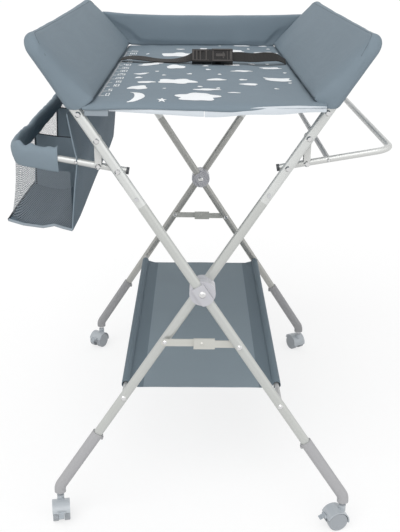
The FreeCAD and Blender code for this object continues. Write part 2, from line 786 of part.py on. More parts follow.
def snap_buttons(side):
    """Sprung buttons that lock the U tube on its legs, each with its leaf spring."""
    pieces = []
    for end in (FRONT, REAR):
        tag = f"button_{side_name(side)}_{end_name(end)}"
        x, z = on_leg(side, "button_reach")
        y = leg_plane(side, end)
        outer = f"({y} - leg_depth / 2 - button_proud)"
        inner = f"({y} - leg_depth / 2 + 2 * leg_wall + face_play)"
        knob = pin(tag + "_knob", x, outer, z, "button_radius", f"{inner} - {outer}")
        leaf = box(tag + "_leaf", "0", "0", "0", "leaf_width", "leaf_thickness", "leaf_length")
        lean = f"{side} * half_angle"
        leaf_x = f"{x} - leaf_width / 2 * cos({lean}) - leaf_length / 2 * sin({lean})"
        leaf_z = f"{z} + leaf_width / 2 * sin({lean}) - leaf_length / 2 * cos({lean})"
        place(leaf, leaf_x, inner, leaf_z, (0, 1, 0), lean)
        pieces.append(join(tag, [knob, leaf]))
    return keep(join(f"snap_buttons_{side_name(side)}", pieces))


# ---- soft parts and boards ----------------------------------------------------


def bolster(side):
    """Raised padded side: foam and fabric round the U tube, down to the flat pad."""
    label = f"bolster_{side_name(side)}"
    body = new_body(label)
    sk = sketch_on(body, label + "_section", "XZ_Plane", "0")
    corners = [
        ("-bolster_inner", "bolster_foot"),
        ("-bolster_inner * 0.45", "bolster_foot + 10"),
        ("bolster_outer", "bolster_foot + 10"),
        ("bolster_radius * 0.95", "top_reach"),
        ("bolster_radius * 0.7", "top_reach + bolster_radius * 0.7"),
        ("0", "top_reach + bolster_radius"),
        ("-bolster_radius * 0.7", "top_reach + bolster_radius * 0.7"),
        ("-bolster_radius", "top_reach"),
    ]
    draw_polygon(sk, [(f"{side} * ({x})", z) for x, z in corners])
    pad(body, sk, "2 * bolster_end", True)
    profile = sketch_on(body, label + "_profile", "XY_Plane", "seam_reach")
    play = "2 * bolster_play"
    centre = f"-frame_spacing / 2 + {side} * leg_gap / 2"
    draw_slot(profile, f"leg_width + {play}", f"leg_depth + {play}", "0", centre)
    path = sketch_on(body, label + "_path", "YZ_Plane")
    shift = f"{side} * leg_gap / 2"
    half = "frame_spacing / 2"
    first, last = f"-{half} + {shift}", f"{half} + {shift}"
    under = "top_reach - tube_bend"
    stretches = [
        ((first, "seam_reach"), (first, under)),
        ((f"{first} + tube_bend", "top_reach"), (f"{last} - tube_bend", "top_reach")),
        ((last, under), (last, "seam_reach")),
    ]
    bends = [
        ((f"{first} + tube_bend", under), "tube_bend", -1),
        ((f"{last} - tube_bend", under), "tube_bend", -1),
    ]
    draw_bent_path(path, stretches, bends)
    pipe(body, "SubtractivePipe", profile, path)
    place(body, "0", "0", "hub_height", (0, 1, 0), f"{side} * half_angle")
    return keep(body)


def table_pad():
    """Flat pad that lies on both boards and folds down between them."""
    length = "top_front + top_rear"
    low = "pad_top - pad_thickness"
    width = "2 * pad_side"
    return keep(box("table_pad", "-pad_side", "-top_front", low, width, length, "pad_thickness"))


def board(side):
    """Stiff board under one half of the pad, hooked round the side rod."""
    label = f"board_{side_name(side)}"
    x, z = on_leg(side, "seat_reach")
    inner = f"{x} - {side} * board_width"
    outer = f"{x} - {side} * (hook_radius - 1)"
    low, high = (inner, outer) if side == RIGHT else (outer, inner)
    sheet_top = f"({z} + board_thickness / 2)"
    slab = box(
        label + "_slab", low, "-board_half", f"{sheet_top} - board_thickness",
        f"({high}) - ({low})", "2 * board_half", "board_thickness",
    )
    pieces = [slab]
    for i in (-1, 0, 1):
        y = f"{i} * (board_half - hook_length) - hook_length / 2"
        pieces.append(pin(f"{label}_hook_{i + 1}", x, y, z, "hook_radius", "hook_length"))
    fit = "rod_radius + turning_play"
    bore = pin(label + "_bore", x, "-board_half - 1", z, fit, "2 * board_half + 2")
    return keep(cut(label, join(label + "_solid", pieces), [bore]))


def inner_face(z):
    """X of the right bolster's inner face at a height."""
    foot_x = "(bolster_foot * sin(half_angle) - bolster_inner * cos(half_angle))"
    foot_z = "(hub_height + bolster_foot * cos(half_angle) + bolster_inner * sin(half_angle))"
    head_x = "(top_reach * sin(half_angle) - bolster_radius * cos(half_angle))"
    head_z = "(hub_height + top_reach * cos(half_angle) + bolster_radius * sin(half_angle))"
    return f"({foot_x} + (({z}) - {foot_z}) * ({head_x} - {foot_x}) / ({head_z} - {foot_z}))"


def rear_bolster():
    """Padded panel between the two side bolsters, behind the pad."""
    body = new_body("bolster_rear")
    sk = sketch_on(body, "rear_section", "XZ_Plane", "-top_rear - 2")
    foot = "(pad_top + 6)"
    head = f"({foot} + rear_height)"
    low = f"({inner_face(foot)} - 1)"
    high = f"({inner_face(head)} - 1)"
    draw_polygon(sk, [(f"-{low}", foot), (low, foot), (high, head), (f"-{high}", head)])
    thing = pad(body, sk, "rear_thickness")
    thing.Reversed = True
    return keep(body)


def shelf_sling():
    """Fabric shelf slung between the two low rods, with a hem round each rod."""
    cloth = new_body("sling_cloth")
    sk = sketch_on(cloth, "sling_section", "XZ_Plane", "shelf_front")
    x, z = on_leg(RIGHT, "shelf_reach")
    rod_z = "(hub_height - shelf_reach * cos(half_angle))"
    low = f"({rod_z} - shelf_depth)"
    t = "shelf_thickness"
    corners = [
        (f"{x} - shelf_edge", f"{rod_z} - rod_radius"),
        (f"{x} - shelf_edge - shelf_slope", f"{low} + {t}"),
        (f"-({x} - shelf_edge - shelf_slope)", f"{low} + {t}"),
        (f"-({x} - shelf_edge)", f"{rod_z} - rod_radius"),
        (f"-({x} - shelf_edge + {t})", f"{rod_z} - rod_radius"),
        (f"-({x} - shelf_edge - shelf_slope + {t})", low),
        (f"{x} - shelf_edge - shelf_slope + {t}", low),
        (f"{x} - shelf_edge + {t}", f"{rod_z} - rod_radius"),
    ]
    draw_polygon(sk, corners)
    thing = pad(cloth, sk, "shelf_front + shelf_rear")
    thing.Reversed = True
    length = "shelf_front + shelf_rear"
    hems = []
    bores = []
    for side in (RIGHT, LEFT):
        spot = f"{side} * {x}"
        radius = "rod_radius + face_play"
        tag = side_name(side)
        hems.append(pin(f"sling_hem_{tag}", spot, "-shelf_front", rod_z, "shelf_edge", length))
        start = "-shelf_front - 1"
        bores.append(pin(f"sling_bore_{tag}", spot, start, rod_z, radius, f"{length} + 2"))
    return keep(cut("shelf_sling", join("sling_solid", [cloth] + hems), bores))


def bag_nodes():
    """Open-topped fabric bag under the left rack frame, with two dividers."""
    label = "bag"
    arm_x, arm_z = rack_point(LEFT, "0")
    under = f"({arm_z} - (arm_radius + 1) / cos(rack_rise))"
    start = f"({arm_plane(LEFT, FRONT)} - arm_radius)"
    finish = f"({arm_plane(LEFT, REAR)} + arm_radius)"
    rise = "tan(rack_rise)"

    def line_z(base, x):
        return f"({base} + (({x}) - bag_inner) * {rise})"

    top_base = f"({under} + (bag_inner - ({arm_x}) * -1) * {rise})"
    low_out = "(bag_outer + bag_flare)"
    outer = [
        ("-bag_inner", "bag_floor"),
        (f"-{low_out}", line_z("bag_floor", low_out)),
        ("-bag_outer", line_z(top_base, "bag_outer")),
        ("-bag_inner", top_base),
    ]
    w = "bag_wall"
    inner = [
        (f"-bag_inner - {w}", line_z(f"(bag_floor + {w})", f"bag_inner + {w}")),
        (f"-{low_out} + {w}", line_z(f"(bag_floor + {w})", f"{low_out} - {w}")),
        (f"-bag_outer + {w}", f"{line_z(top_base, 'bag_outer')} + 40"),
        (f"-bag_inner - {w}", f"{top_base} + 40"),
    ]
    shell = new_body("bag_shell")
    sk = sketch_on(shell, "bag_outline", "XZ_Plane", f"-({start})")
    draw_polygon(sk, outer)
    thing = pad(shell, sk, f"({finish}) - ({start})")
    thing.Reversed = True
    room = new_body("bag_room")
    sk = sketch_on(room, "bag_room_outline", "XZ_Plane", f"-({start} + {w})")
    draw_polygon(sk, inner)
    thing = pad(room, sk, f"({finish}) - ({start}) - 2 * {w}")
    thing.Reversed = True
    back = box(
        "bag_back", f"-bag_inner - {w}", f"{start} + 2 * arm_radius + 4", f"{top_base} - 30",
        w, f"({finish}) - ({start}) - 4 * arm_radius - 8", f"bag_back - {top_base} + 30",
    )
    lip_z = f"{line_z(top_base, 'bag_outer')} - 4"
    lip = box("bag_lip", "-bag_outer", start, lip_z, w, f"({finish}) - ({start})", "2 * arm_radius + 10")
    body = join(label, [cut("bag_hollow", shell, [room]), back, lip])
    keep(body)


# ---- stays --------------------------------------------------------------------


def stay_link(side, end):
    """One half of the folding stay between a pair of legs; it hangs on a leg bolt."""
    label = f"stay_{end_name(end)}_{side_name(-side)}"
    x, z = on_leg(side, "-stay_reach")
    thick = "link_thickness"
    plane = leg_plane(LEFT, end)
    web = f"({plane} + leg_depth / 2 + 2)"
    far = f"({plane} + leg_depth / 2 + 2 + link_thickness + link_rim + 1.2)"
    start = web if side == LEFT else far
    reach = "(stay_reach * sin(half_angle))"
    low_x = "0" if side == LEFT else x
    pieces = [box(label + "_strip", low_x, start, f"{z} - link_width / 2", reach, thick, "link_width")]
    pieces.append(pin(label + "_eye", x, start, z, "link_width / 2", thick))
    if side == LEFT:
        box_from = "-link_box * 0.75"
        length = "link_box * 1.9"
        low = f"{z} - link_box / 2"
        pieces.append(box(label + "_plate", box_from, start, low, length, thick, "link_box"))
        for edge, rim_z in (("low", low), ("top", f"{z} + link_box / 2 - {thick}")):
            rim_y = f"{web} + {thick}"
            pieces.append(box(f"{label}_rim_{edge}", box_from, rim_y, rim_z, length, "link_rim", thick))
        shaft = pin(label + "_rivet", "0", web, z, "rivet_radius", f"{far} - face_play - {web}")
        head = dome(label + "_rivet_head", "0", web, z, "rivet_radius * 1.7", "1.4", -1)
        pieces += [shaft, head]
    else:
        pieces.append(pin(label + "_nose", "0", start, z, "link_width / 2", thick))
        tail = f"{far} + {thick}"
        pieces.append(dome(label + "_rivet_tail", "0", tail, z, "rivet_radius * 1.6", "1.1", 1))
    fit = "bolt_radius + turning_play"
    hole = pin(label + "_bolt_hole", x, f"{start} - 1", z, fit, f"{thick} + 2")
    return keep(cut(label, join(label + "_solid", pieces), [hole]))


def stay_bolts(side):
    """The bolts of one frame that the stays turn on, each with its spacer."""
    pieces = []
    for end in (FRONT, REAR):
        tag = f"stay_bolt_{side_name(side)}_{end_name(end)}"
        x, z = on_leg(side, "-stay_reach")
        y = leg_plane(side, end)
        way = 1 if side == LEFT else -1
        web = f"({leg_plane(LEFT, end)} + leg_depth / 2 + 2)"
        far = f"({web} + link_thickness + link_rim + 1.2)"
        outer = f"({y} - {way} * leg_depth / 2)"
        beyond = f"({web} + link_thickness + face_play)" if side == LEFT else f"({far} - face_play)"
        low, high = (outer, beyond) if way > 0 else (beyond, outer)
        shank = pin(tag + "_shank", x, low, z, "bolt_radius", f"({high}) - ({low})")
        head = dome(tag + "_head", x, outer, z, "head_radius", "head_height", -way)
        tip = dome(tag + "_tip", x, beyond, z, "head_radius * 0.8", "1.4", way)
        face = f"({y} + {way} * leg_depth / 2)"
        behind = f"({far} + link_thickness + face_play / 2)"
        stop = f"({web} - face_play / 2)" if side == LEFT else behind
        low, high = (face, stop) if way > 0 else (stop, face)
        spacer = pin(tag + "_spacer", x, low, z, "head_radius", f"({high}) - ({low})")
        pieces.append(join(tag, [shank, head, tip, spacer]))
    return pieces


def hub_bolts():
    """The two bolts that both frames turn on, with their washers and nuts."""
    pieces = []
    for end in (FRONT, REAR):
        tag = f"hub_bolt_{end_name(end)}"
        low = f"({leg_plane(LEFT, end)} - leg_depth / 2 - hub_cover - face_play)"
        high = f"({leg_plane(RIGHT, end)} + leg_depth / 2 + hub_cover + face_play)"
        shank = pin(tag + "_shank", "0", low, "hub_height", "hub_bolt_radius", f"({high}) - ({low})")
        head = dome(tag + "_head", "0", low, "hub_height", "hub_bolt_radius * 1.7", "2.4", -1)
        nut = dome(tag + "_nut", "0", high, "hub_height", "hub_bolt_radius * 1.7", "3.2", 1)
        pieces.append(join(tag, [shank, head, nut]))
    return keep(join("hub_bolts", pieces))


# ---- strap and buckle -----------------------------------------------------------


BUCKLE_FOOT = "(pad_top + buckle_gap)"


def lean_back(thing):
    """Stand a piece of the buckle, drawn lying at the origin, on its lower edge."""
    return place(thing, "0", "buckle_front", BUCKLE_FOOT, (1, 0, 0), "buckle_lean")


def webbing(label, spots):
    """Webbing through flat sections, each at an X with its middle and its lean."""
    body = new_body(label)
    sections = []
    for i, (x, y, z, lean) in enumerate(spots):
        sk = sketch_on(body, f"{label}_section_{i + 1}", "YZ_Plane", x)
        corners = []
        for a, b in ((-1, -1), (1, -1), (1, 1), (-1, 1)):
            wide, thick = f"{a} * strap_width / 2", f"{b} * strap_thickness / 2"
            corners.append((
                f"{y} + {wide} * cos({lean}) - {thick} * sin({lean})",
                f"{z} + {wide} * sin({lean}) + {thick} * cos({lean})",
            ))
        draw_polygon(sk, corners)
        sections.append(sk)
    thing = body.newObject("PartDesign::AdditiveLoft", label + "_loft")
    thing.Profile = sections[0]
    thing.Sections = sections[1:]
    thing.Ruled = True
    body.Tip = thing
    return keep(body)


def straps():
    """Two webbing halves, sewn in flat at the side seams and turned up to the buckle."""
    half, thick = "buckle_width / 2", "buckle_height / 2"
    y = f"(buckle_front + {half} * cos(buckle_lean) - {thick} * sin(buckle_lean))"
    z = f"({BUCKLE_FOOT} + {half} * sin(buckle_lean) + {thick} * cos(buckle_lean))"
    seam = "(pad_side - bolster_play - 5)"
    seam_z = "(pad_top + strap_lift + strap_thickness / 2)"
    left_mouth = "(buckle_left - tongue_length + tongue_reach)"
    right_mouth = "(buckle_left + buckle_length)"
    webbing("strap_left", [
        (f"-{seam}", "strap_seam_left", seam_z, "0"),
        (f"{left_mouth} - 1", y, z, "buckle_lean"),
        (f"{left_mouth} + strap_bite", y, z, "buckle_lean"),
    ])
    webbing("strap_right", [
        (seam, "strap_seam_right", seam_z, "0"),
        (f"{right_mouth} + 1", y, z, "buckle_lean"),
        (f"{right_mouth} - strap_bite", y, z, "buckle_lean"),
    ])


def web_slot(name, start, length):
    """Room for the webbing's end, in the middle of the buckle's width and height."""
    return box(
        name, start, "(buckle_width - strap_width) / 2 - buckle_play",
        "(buckle_height - strap_thickness) / 2 - buckle_play",
        length, "strap_width + 2 * buckle_play", "strap_thickness + 2 * buckle_play",
    )


def buckle():
    """A side-release buckle: a hollow body with side windows, and a tongue with three prongs."""
    play, wall, side_wall = "buckle_play", "buckle_wall", "buckle_corner"
    shell = box("buckle_block", "buckle_left", "0", "0", "buckle_length", "buckle_width", "buckle_height")
    rounded = doc.addObject("Part::Fillet", "buckle_rounded")
    rounded.Base = shell
    rounded.Edges = [(edge, SIZES["buckle_wall"], SIZES["buckle_wall"]) for edge in (1, 3, 5, 7)]
    room_high = f"(buckle_height - 2 * {wall})"
    room = box(
        "buckle_room", "buckle_left - 1", side_wall, wall,
        "tongue_reach + 3", f"buckle_width - 2 * {side_wall}", room_high,
    )
    windows = box(
        "buckle_windows", "buckle_left + window_start", "-1", wall,
        "window_length", "buckle_width + 2", room_high,
    )
    mouth = f"buckle_left + buckle_length - strap_bite - 2 * {play}"
    slot = web_slot("buckle_slot", mouth, f"strap_bite + 4 * {play}")
    keep(lean_back(cut("buckle_body", rounded, [room, windows, slot])))
    start = "(buckle_left - tongue_length + tongue_reach)"
    plate_length = f"(buckle_left - {start} - {play})"
    plate = box(
        "tongue_plate", start, "tongue_skin", "tongue_skin",
        plate_length, "buckle_width - 2 * tongue_skin", "buckle_height - 2 * tongue_skin",
    )
    pieces = [plate]
    spots = (
        f"{side_wall} + {play}", "(buckle_width - prong_width) / 2",
        f"buckle_width - {side_wall} - {play} - prong_width",
    )
    for i, y in enumerate(spots):
        pieces.append(
            box(
                f"tongue_prong_{i}", f"buckle_left - {play} - 1", y, f"{wall} + {play}",
                f"tongue_reach + {play}", "prong_width", f"{room_high} - 2 * {play}",
            )
        )
    grooves = []
    for i, along in enumerate(("2 * tongue_bar", "4 * tongue_bar")):
        for face, low in (("under", "0"), ("top", "buckle_height - tongue_skin - tongue_groove")):
            grooves.append(box(
                f"tongue_groove_{face}_{i}", f"{start} + {along}",
                "(buckle_width - strap_width) / 2", low,
                "tongue_bar", "strap_width", "tongue_skin + tongue_groove",
            ))
    bite = web_slot("tongue_slot", f"{start} - 1", f"strap_bite + 1 + 2 * {play}")
    keep(lean_back(cut("buckle_tongue", join("tongue_solid", pieces), [bite] + grooves)))


# ---- castors --------------------------------------------------------------------

CASTORS = {
    "front_left": (RIGHT, FRONT, -80),
    "front_right": (LEFT, FRONT, -165),
    "rear_left": (RIGHT, REAR, -120),
    "rear_right": (LEFT, REAR, 120),
}


def castor(corner, side, end, yaw):
    """Twin-wheel castor: hooded housing, wheels on one axle and a brake pedal."""
    name = "castor_" + corner
    r = "wheel_radius"
    clear = f"({r} + hood_gap)"
    hood = f"({r} + hood_gap + hood_wall)"
    half = "hood_half"
    inner = "(wheel_inner - 0.4)"

    def across(tag, x, z, radius, start, length):
        return pin(f"{name}_{tag}", x, start, z, radius, length)

    drum = across("drum", "trail", r, hood, f"-{half}", f"2 * {half}")
    boss_low = "castor_top - boss_height"
    boss = post(name + "_boss", "0", "0", boss_low, "stem_radius + boss_wall", "boss_height")
    solid = join(name + "_blank", [drum, boss])
    wells = [
        across("well_near", "trail", r, clear, f"-{half} - 1", f"{half} + 1 - {inner}"),
        across("well_far", "trail", r, clear, inner, f"{half} + 1 - {inner}"),
    ]
    skirt = box(name + "_skirt", "trail - 60", "-30", f"{r} - 84", "120", "60", "80")
    open_back = box(name + "_open_back", "trail + hood_open", "-30", f"{r} - 30", "60", "60", "39")
    shell = cut(name + "_shell", solid, [skirt, open_back])
    cheek = across("cheek", "trail", r, "cheek_radius", f"-{inner}", f"2 * {inner}")
    pivot_x = f"(trail + ({hood} + pedal_radius) * cos(pedal_tilt))"
    pivot_z = f"({r} + ({hood} + pedal_radius) * sin(pedal_tilt))"
    ears = []
    ear_gap = "(pedal_width / 2 + 0.4)"
    wide = "ear_thickness"
    for tag, start in (("near", f"-{ear_gap} - {wide}"), ("far", ear_gap)):
        ears.append(across(f"ear_{tag}", pivot_x, pivot_z, "pedal_radius + 0.6", start, wide))
        root_x, root_z = f"{pivot_x} - ear_root", f"{pivot_z} - {wide}"
        root = box(f"{name}_ear_root_{tag}", root_x, start, root_z, "ear_root", wide, f"2 * {wide}")
        ears.append(root)
    full = join(name + "_full", [shell, cheek] + ears)
    fit = "stem_radius + turning_play"
    bores = [
        across("axle_bore", "trail", r, "axle_radius + turning_play", "-30", "60"),
        across("pin_bore", pivot_x, pivot_z, "pedal_pin + turning_play", "-30", "60"),
        post(name + "_stem_bore", "0", "0", "castor_top - stem_depth - 0.5", fit, "60"),
    ] + wells
    housing = cut(name + "_housing_local", full, bores)
    pieces = [across("axle", "trail", r, "axle_radius", "-wheel_outer", "2 * wheel_outer")]
    for i in (-1, 1):
        start = "wheel_inner" if i > 0 else "-wheel_outer"
        disc = across(f"disc_{i + 1}", "trail", r, r, start, "wheel_outer - wheel_inner")
        rim = doc.addObject("Part::Fillet", f"{name}_rim_{i + 1}")
        rim.Base = disc
        rim.Edges = [(1, 2.0, 2.0), (3, 2.0, 2.0)]
        pieces.append(rim)
    wheels = join(name + "_wheels_local", pieces)
    beside = "-pedal_width / 2"
    barrel = across("barrel", pivot_x, pivot_z, "pedal_radius", beside, "pedal_width")
    reach = f"({ear_gap} + {wide} + 0.2)"
    pedal_pin = across("pedal_pin", pivot_x, pivot_z, "pedal_pin", f"-{reach}", f"2 * {reach}")
    tread = box(name + "_tread", "0", "0", "0", "pedal_length", "pedal_width", "pedal_thickness")
    place(tread, pivot_x, beside, f"{pivot_z} - pedal_thickness / 2", (0, 1, 0), "pedal_tilt")
    pedal = join(name + "_pedal_local", [barrel, pedal_pin, tread])
    x, _ = on_leg(side, "-bend_reach")
    y = leg_plane(side, end)
    for local, label in ((housing, "housing"), (wheels, "wheels"), (pedal, "brake")):
        place(local, x, y, "0", (0, 0, 1), str(yaw))
        local.Label = f"{name}_{label}"
        keep(local)


# ---- build ----------------------------------------------------------------------

for side in (RIGHT, LEFT):
    for end in (FRONT, REAR):
        leg(side, end)
        leg_end(side, end)
        stay_link(side, end)
    u_tube(side)
    side_rod(side, f"table_rod_{side_name(side)}", "seat_reach")
    side_rod(side, f"shelf_rod_{side_name(-side)}", "-shelf_reach")
    rack(side, "rack_frame" if side == RIGHT else "bag_frame")
    cross_bar(side, "rack_cross_bar" if side == RIGHT else "bag_cross_bar")
    strap_plates(side)
    arm_caps(side)
    frame_bolts(side)
    hub_discs(side)
    castor_stems(side)
    snap_buttons(side)
    bolster(side)
    board(side)
table_pad()
rear_bolster()
shelf_sling()
bag_nodes()
hub_bolts()
straps()
buckle()
for corner, (side, end, yaw) in CASTORS.items():
    castor(corner, side, end, yaw)

doc.recompute()

for thing in doc.Objects:
    if "Invalid" in thing.State or "Error" in thing.State:
        raise RuntimeError(f"{thing.Name} did not build: {thing.State}")

for thing in nodes:
    shape = thing.Shape
    if shape.isNull() or not shape.isValid():
        raise RuntimeError(f"{thing.Label} has no valid shape")
    label = thing.Label.replace("_piece", "")
    shape.exportStep(f"parts/{label}.step")
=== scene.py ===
import math

import bmesh
import bpy
import numpy as np
from mathutils import Matrix, Vector, noise
from mathutils.bvhtree import BVHTree


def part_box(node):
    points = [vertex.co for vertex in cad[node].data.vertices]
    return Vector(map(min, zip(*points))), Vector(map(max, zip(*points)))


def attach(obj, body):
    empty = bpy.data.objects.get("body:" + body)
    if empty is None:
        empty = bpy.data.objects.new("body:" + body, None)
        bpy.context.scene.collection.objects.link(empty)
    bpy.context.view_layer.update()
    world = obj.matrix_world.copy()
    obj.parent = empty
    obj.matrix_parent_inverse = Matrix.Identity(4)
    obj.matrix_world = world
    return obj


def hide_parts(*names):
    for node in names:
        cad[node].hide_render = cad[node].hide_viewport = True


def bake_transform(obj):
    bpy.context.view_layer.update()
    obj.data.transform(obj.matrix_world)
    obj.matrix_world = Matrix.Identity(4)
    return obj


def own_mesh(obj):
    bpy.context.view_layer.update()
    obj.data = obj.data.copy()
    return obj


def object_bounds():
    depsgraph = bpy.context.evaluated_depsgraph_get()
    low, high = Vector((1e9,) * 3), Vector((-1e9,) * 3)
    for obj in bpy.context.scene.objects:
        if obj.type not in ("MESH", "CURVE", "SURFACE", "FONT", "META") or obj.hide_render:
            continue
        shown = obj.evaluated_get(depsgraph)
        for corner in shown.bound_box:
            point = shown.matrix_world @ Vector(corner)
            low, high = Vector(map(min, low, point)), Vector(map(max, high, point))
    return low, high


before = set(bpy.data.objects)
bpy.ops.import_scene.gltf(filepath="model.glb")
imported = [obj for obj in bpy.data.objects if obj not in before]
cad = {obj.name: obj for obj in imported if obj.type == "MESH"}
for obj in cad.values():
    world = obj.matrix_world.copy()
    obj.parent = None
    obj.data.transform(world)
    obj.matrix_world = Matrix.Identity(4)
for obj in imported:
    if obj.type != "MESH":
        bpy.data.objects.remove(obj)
cad_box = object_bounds()
scene = bpy.context.scene
scene.view_settings.view_transform = "Standard"

# ---- Camera -----------------------------------------------------------------
# Stands in front of the table a little above the top and looks down on it.
# The table fills the frame from the castors to the raised sides.

look_down, look_right, lean = (math.radians(a) for a in (21.31, 0.365, 0.482))
ahead = Vector((
    math.sin(look_right) * math.cos(look_down),
    math.cos(look_right) * math.cos(look_down),
    -math.sin(look_down),
))
level = Vector((math.cos(look_right), -math.sin(look_right), 0))
above = level.cross(ahead)
camera = bpy.data.objects.new("camera", bpy.data.cameras.new("camera"))
scene.collection.objects.link(camera)
scene.camera = camera
camera.data.lens = 74.7
camera.data.sensor_width = 36
camera.data.sensor_fit = "HORIZONTAL"
camera.data.clip_end = 80
camera_spot = (-0.0144, -1.8722, 1.1539)
axes = Matrix((
    level * math.cos(lean) + above * math.sin(lean), above * math.cos(lean) - level * math.sin(lean), -ahead,
))
camera.matrix_world = Matrix.Translation(camera_spot) @ axes.transposed().to_4x4()

# ---- Studio -----------------------------------------------------------------
# A white floor that only keeps a soft shadow, an even white sky, and two wide
# lamps: the key above and in front on the left, the fill low on the right.


def wire(tree, kind, sockets=None, **settings):
    """Adds one shader node with its settings, values and links."""
    node = tree.nodes.new("ShaderNode" + kind)
    for name, value in settings.items():
        setattr(node, name, value)
    for name, value in (sockets or {}).items():
        if isinstance(value, bpy.types.NodeSocket):
            tree.links.new(value, node.inputs[name])
        else:
            node.inputs[name].default_value = value
    return node


def reckon(tree, operation, *values):
    """The result of one math node."""
    return wire(tree, "Math", dict(enumerate(values)), operation=operation).outputs[0]


def scaled(tree, vector, amount):
    """A vector or colour times a number."""
    return wire(tree, "VectorMath", {0: vector, "Scale": amount}, operation="SCALE").outputs[0]


def seen_ray(tree):
    """1 for rays that look, reflect or pass through, 0 for rays that only light."""
    path = wire(tree, "LightPath").outputs
    both = reckon(tree, "MAXIMUM", path["Is Camera Ray"], path["Is Glossy Ray"])
    return reckon(tree, "MAXIMUM", both, path["Is Transmission Ray"])


sky = bpy.data.worlds.new("studio")
scene.world = sky
sky.use_nodes = True
sky.node_tree.nodes.clear()
lit = wire(sky.node_tree, "Background", {"Color": (1, 1, 1, 1), "Strength": 0.62})
plain = wire(sky.node_tree, "Background", {"Color": (1, 1, 1, 1), "Strength": 1.0})
parts = {0: seen_ray(sky.node_tree), 1: lit.outputs[0], 2: plain.outputs[0]}
either = wire(sky.node_tree, "MixShader", parts)
wire(sky.node_tree, "OutputWorld", {"Surface": either.outputs[0]})

for name, strength, spread, towards in (
    ("key", 1.25, 50, (0.35, 0.75, -1.0)),
    ("fill", 0.55, 80, (-0.7, 0.9, -0.45)),
):
    lamp = bpy.data.objects.new(name, bpy.data.lights.new(name, "SUN"))
    scene.collection.objects.link(lamp)
    lamp.data.energy = strength
    lamp.data.angle = math.radians(spread)
    lamp.rotation_euler = Vector(towards).to_track_quat("-Z", "Y").to_euler()

floor_mesh = bpy.data.meshes.new("floor")
floor_reach = 60
corners = [(x * floor_reach, y * floor_reach, 0) for x, y in ((-1, -1), (1, -1), (1, 1), (-1, 1))]
floor_mesh.from_pydata(corners, [], [(0, 1, 2, 3)])
floor = bpy.data.objects.new("floor", floor_mesh)
scene.collection.objects.link(floor)
floor.location.z = cad_box[0].z - 0.0005
paper = bpy.data.materials.new("floor_paper")
paper.use_nodes = True
tree = paper.node_tree
tree.nodes.clear()
matt = wire(tree, "BsdfDiffuse", {"Color": (0.82, 0.82, 0.82, 1)})
soft = wire(tree, "BsdfDiffuse", {"Color": (0.3, 0.3, 0.3, 1)})
glow = wire(tree, "Emission", {"Color": (1, 1, 1, 1), "Strength": 0.72})
bright = wire(tree, "AddShader", {0: soft.outputs[0], 1: glow.outputs[0]})
shown = wire(tree, "MixShader", {0: seen_ray(tree), 1: matt.outputs[0], 2: bright.outputs[0]})
wire(tree, "OutputMaterial", {"Surface": shown.outputs[0]})
floor_mesh.materials.append(paper)

# ---- Legs and upper tubes ---------------------------------------------------
# Flat-oval steel tube, powder coated in warm silver. The rear legs get a darker
# copy of the silver as painted shade. The upper U tubes slide over spigots in the legs and lock there.


def dye(red, green, blue):
    """An everyday 0-255 sRGB colour as the linear one that the shader wants."""
    shares = (c / 255 for c in (red, green, blue))
    return tuple(c / 12.92 if c < 0.0404 else ((c + 0.055) / 1.055) ** 2.4 for c in shares) + (1.0,)


def new_group(name, inputs):
    """A node group with the given inputs, whose outputs are a colour, a roughness and a height."""
    group = bpy.data.node_groups.new(name, "ShaderNodeTree")
    for label, kind, value in inputs:
        socket = group.interface.new_socket(label, in_out="INPUT", socket_type="NodeSocket" + kind)
        socket.default_value = value
    for label, kind in (("Color", "Color"), ("Roughness", "Float"), ("Height", "Float")):
        group.interface.new_socket(label, in_out="OUTPUT", socket_type="NodeSocket" + kind)
    return group, group.nodes.new("NodeGroupInput").outputs, group.nodes.new("NodeGroupOutput").inputs


coat, given, out = new_group(
    "powder_coat",
    [
        ("Colour", "Color", (0.5, 0.5, 0.5, 1)), ("Grain", "Float", 900.0), ("Mottle", "Float", 0.06),
        ("Sheen Spread", "Float", 0.08), ("Roughness", "Float", 0.4),
    ],
)
spot = wire(coat, "TexCoord").outputs["Object"]
cloudy = wire(coat, "TexNoise", {"Vector": spot, "Scale": 14.0, "Detail": 3.0}).outputs["Fac"]
fine = wire(coat, "TexNoise", {"Vector": spot, "Scale": given["Grain"], "Detail": 2.0}).outputs["Fac"]
drift = reckon(coat, "MULTIPLY", reckon(coat, "SUBTRACT", cloudy, 0.5), given["Mottle"])
tone = reckon(coat, "ADD", drift, 1.0)
coat.links.new(scaled(coat, given["Colour"], tone), out["Color"])
gloss = reckon(coat, "MULTIPLY_ADD", cloudy, given["Sheen Spread"], given["Roughness"])
coat.links.new(gloss, out["Roughness"])
coat.links.new(fine, out["Height"])


def new_finish(name, group, settings, colour, relief, depth):
    """A material whose skin is one of the node groups; also gives its surface's inputs."""
    material = bpy.data.materials.new(name)
    material.use_nodes = True
    tree = material.node_tree
    face = tree.nodes["Principled BSDF"].inputs
    skin = wire(tree, "Group", settings, node_tree=group).outputs
    bump = wire(tree, "Bump", {"Height": skin["Height"], "Strength": relief, "Distance": depth})
    tree.links.new(skin["Color"], face["Base Color"])
    tree.links.new(skin["Roughness"], face["Roughness"])
    tree.links.new(bump.outputs[0], face["Normal"])
    material.diffuse_color = dye(*colour)
    return material, face


def hard_finish(name, colour, roughness, metal=0.0, mottle=0.06, grain=900.0, relief=0.05, coat_weight=0.0):
    """A coated or moulded surface with a faint grain and uneven tone."""
    settings = {"Colour": dye(*colour), "Grain": grain, "Mottle": mottle, "Roughness": roughness}
    material, face = new_finish(name, coat, settings, colour, relief, 0.0004)
    face["Metallic"].default_value = metal
    face["Coat Weight"].default_value = coat_weight
    return material


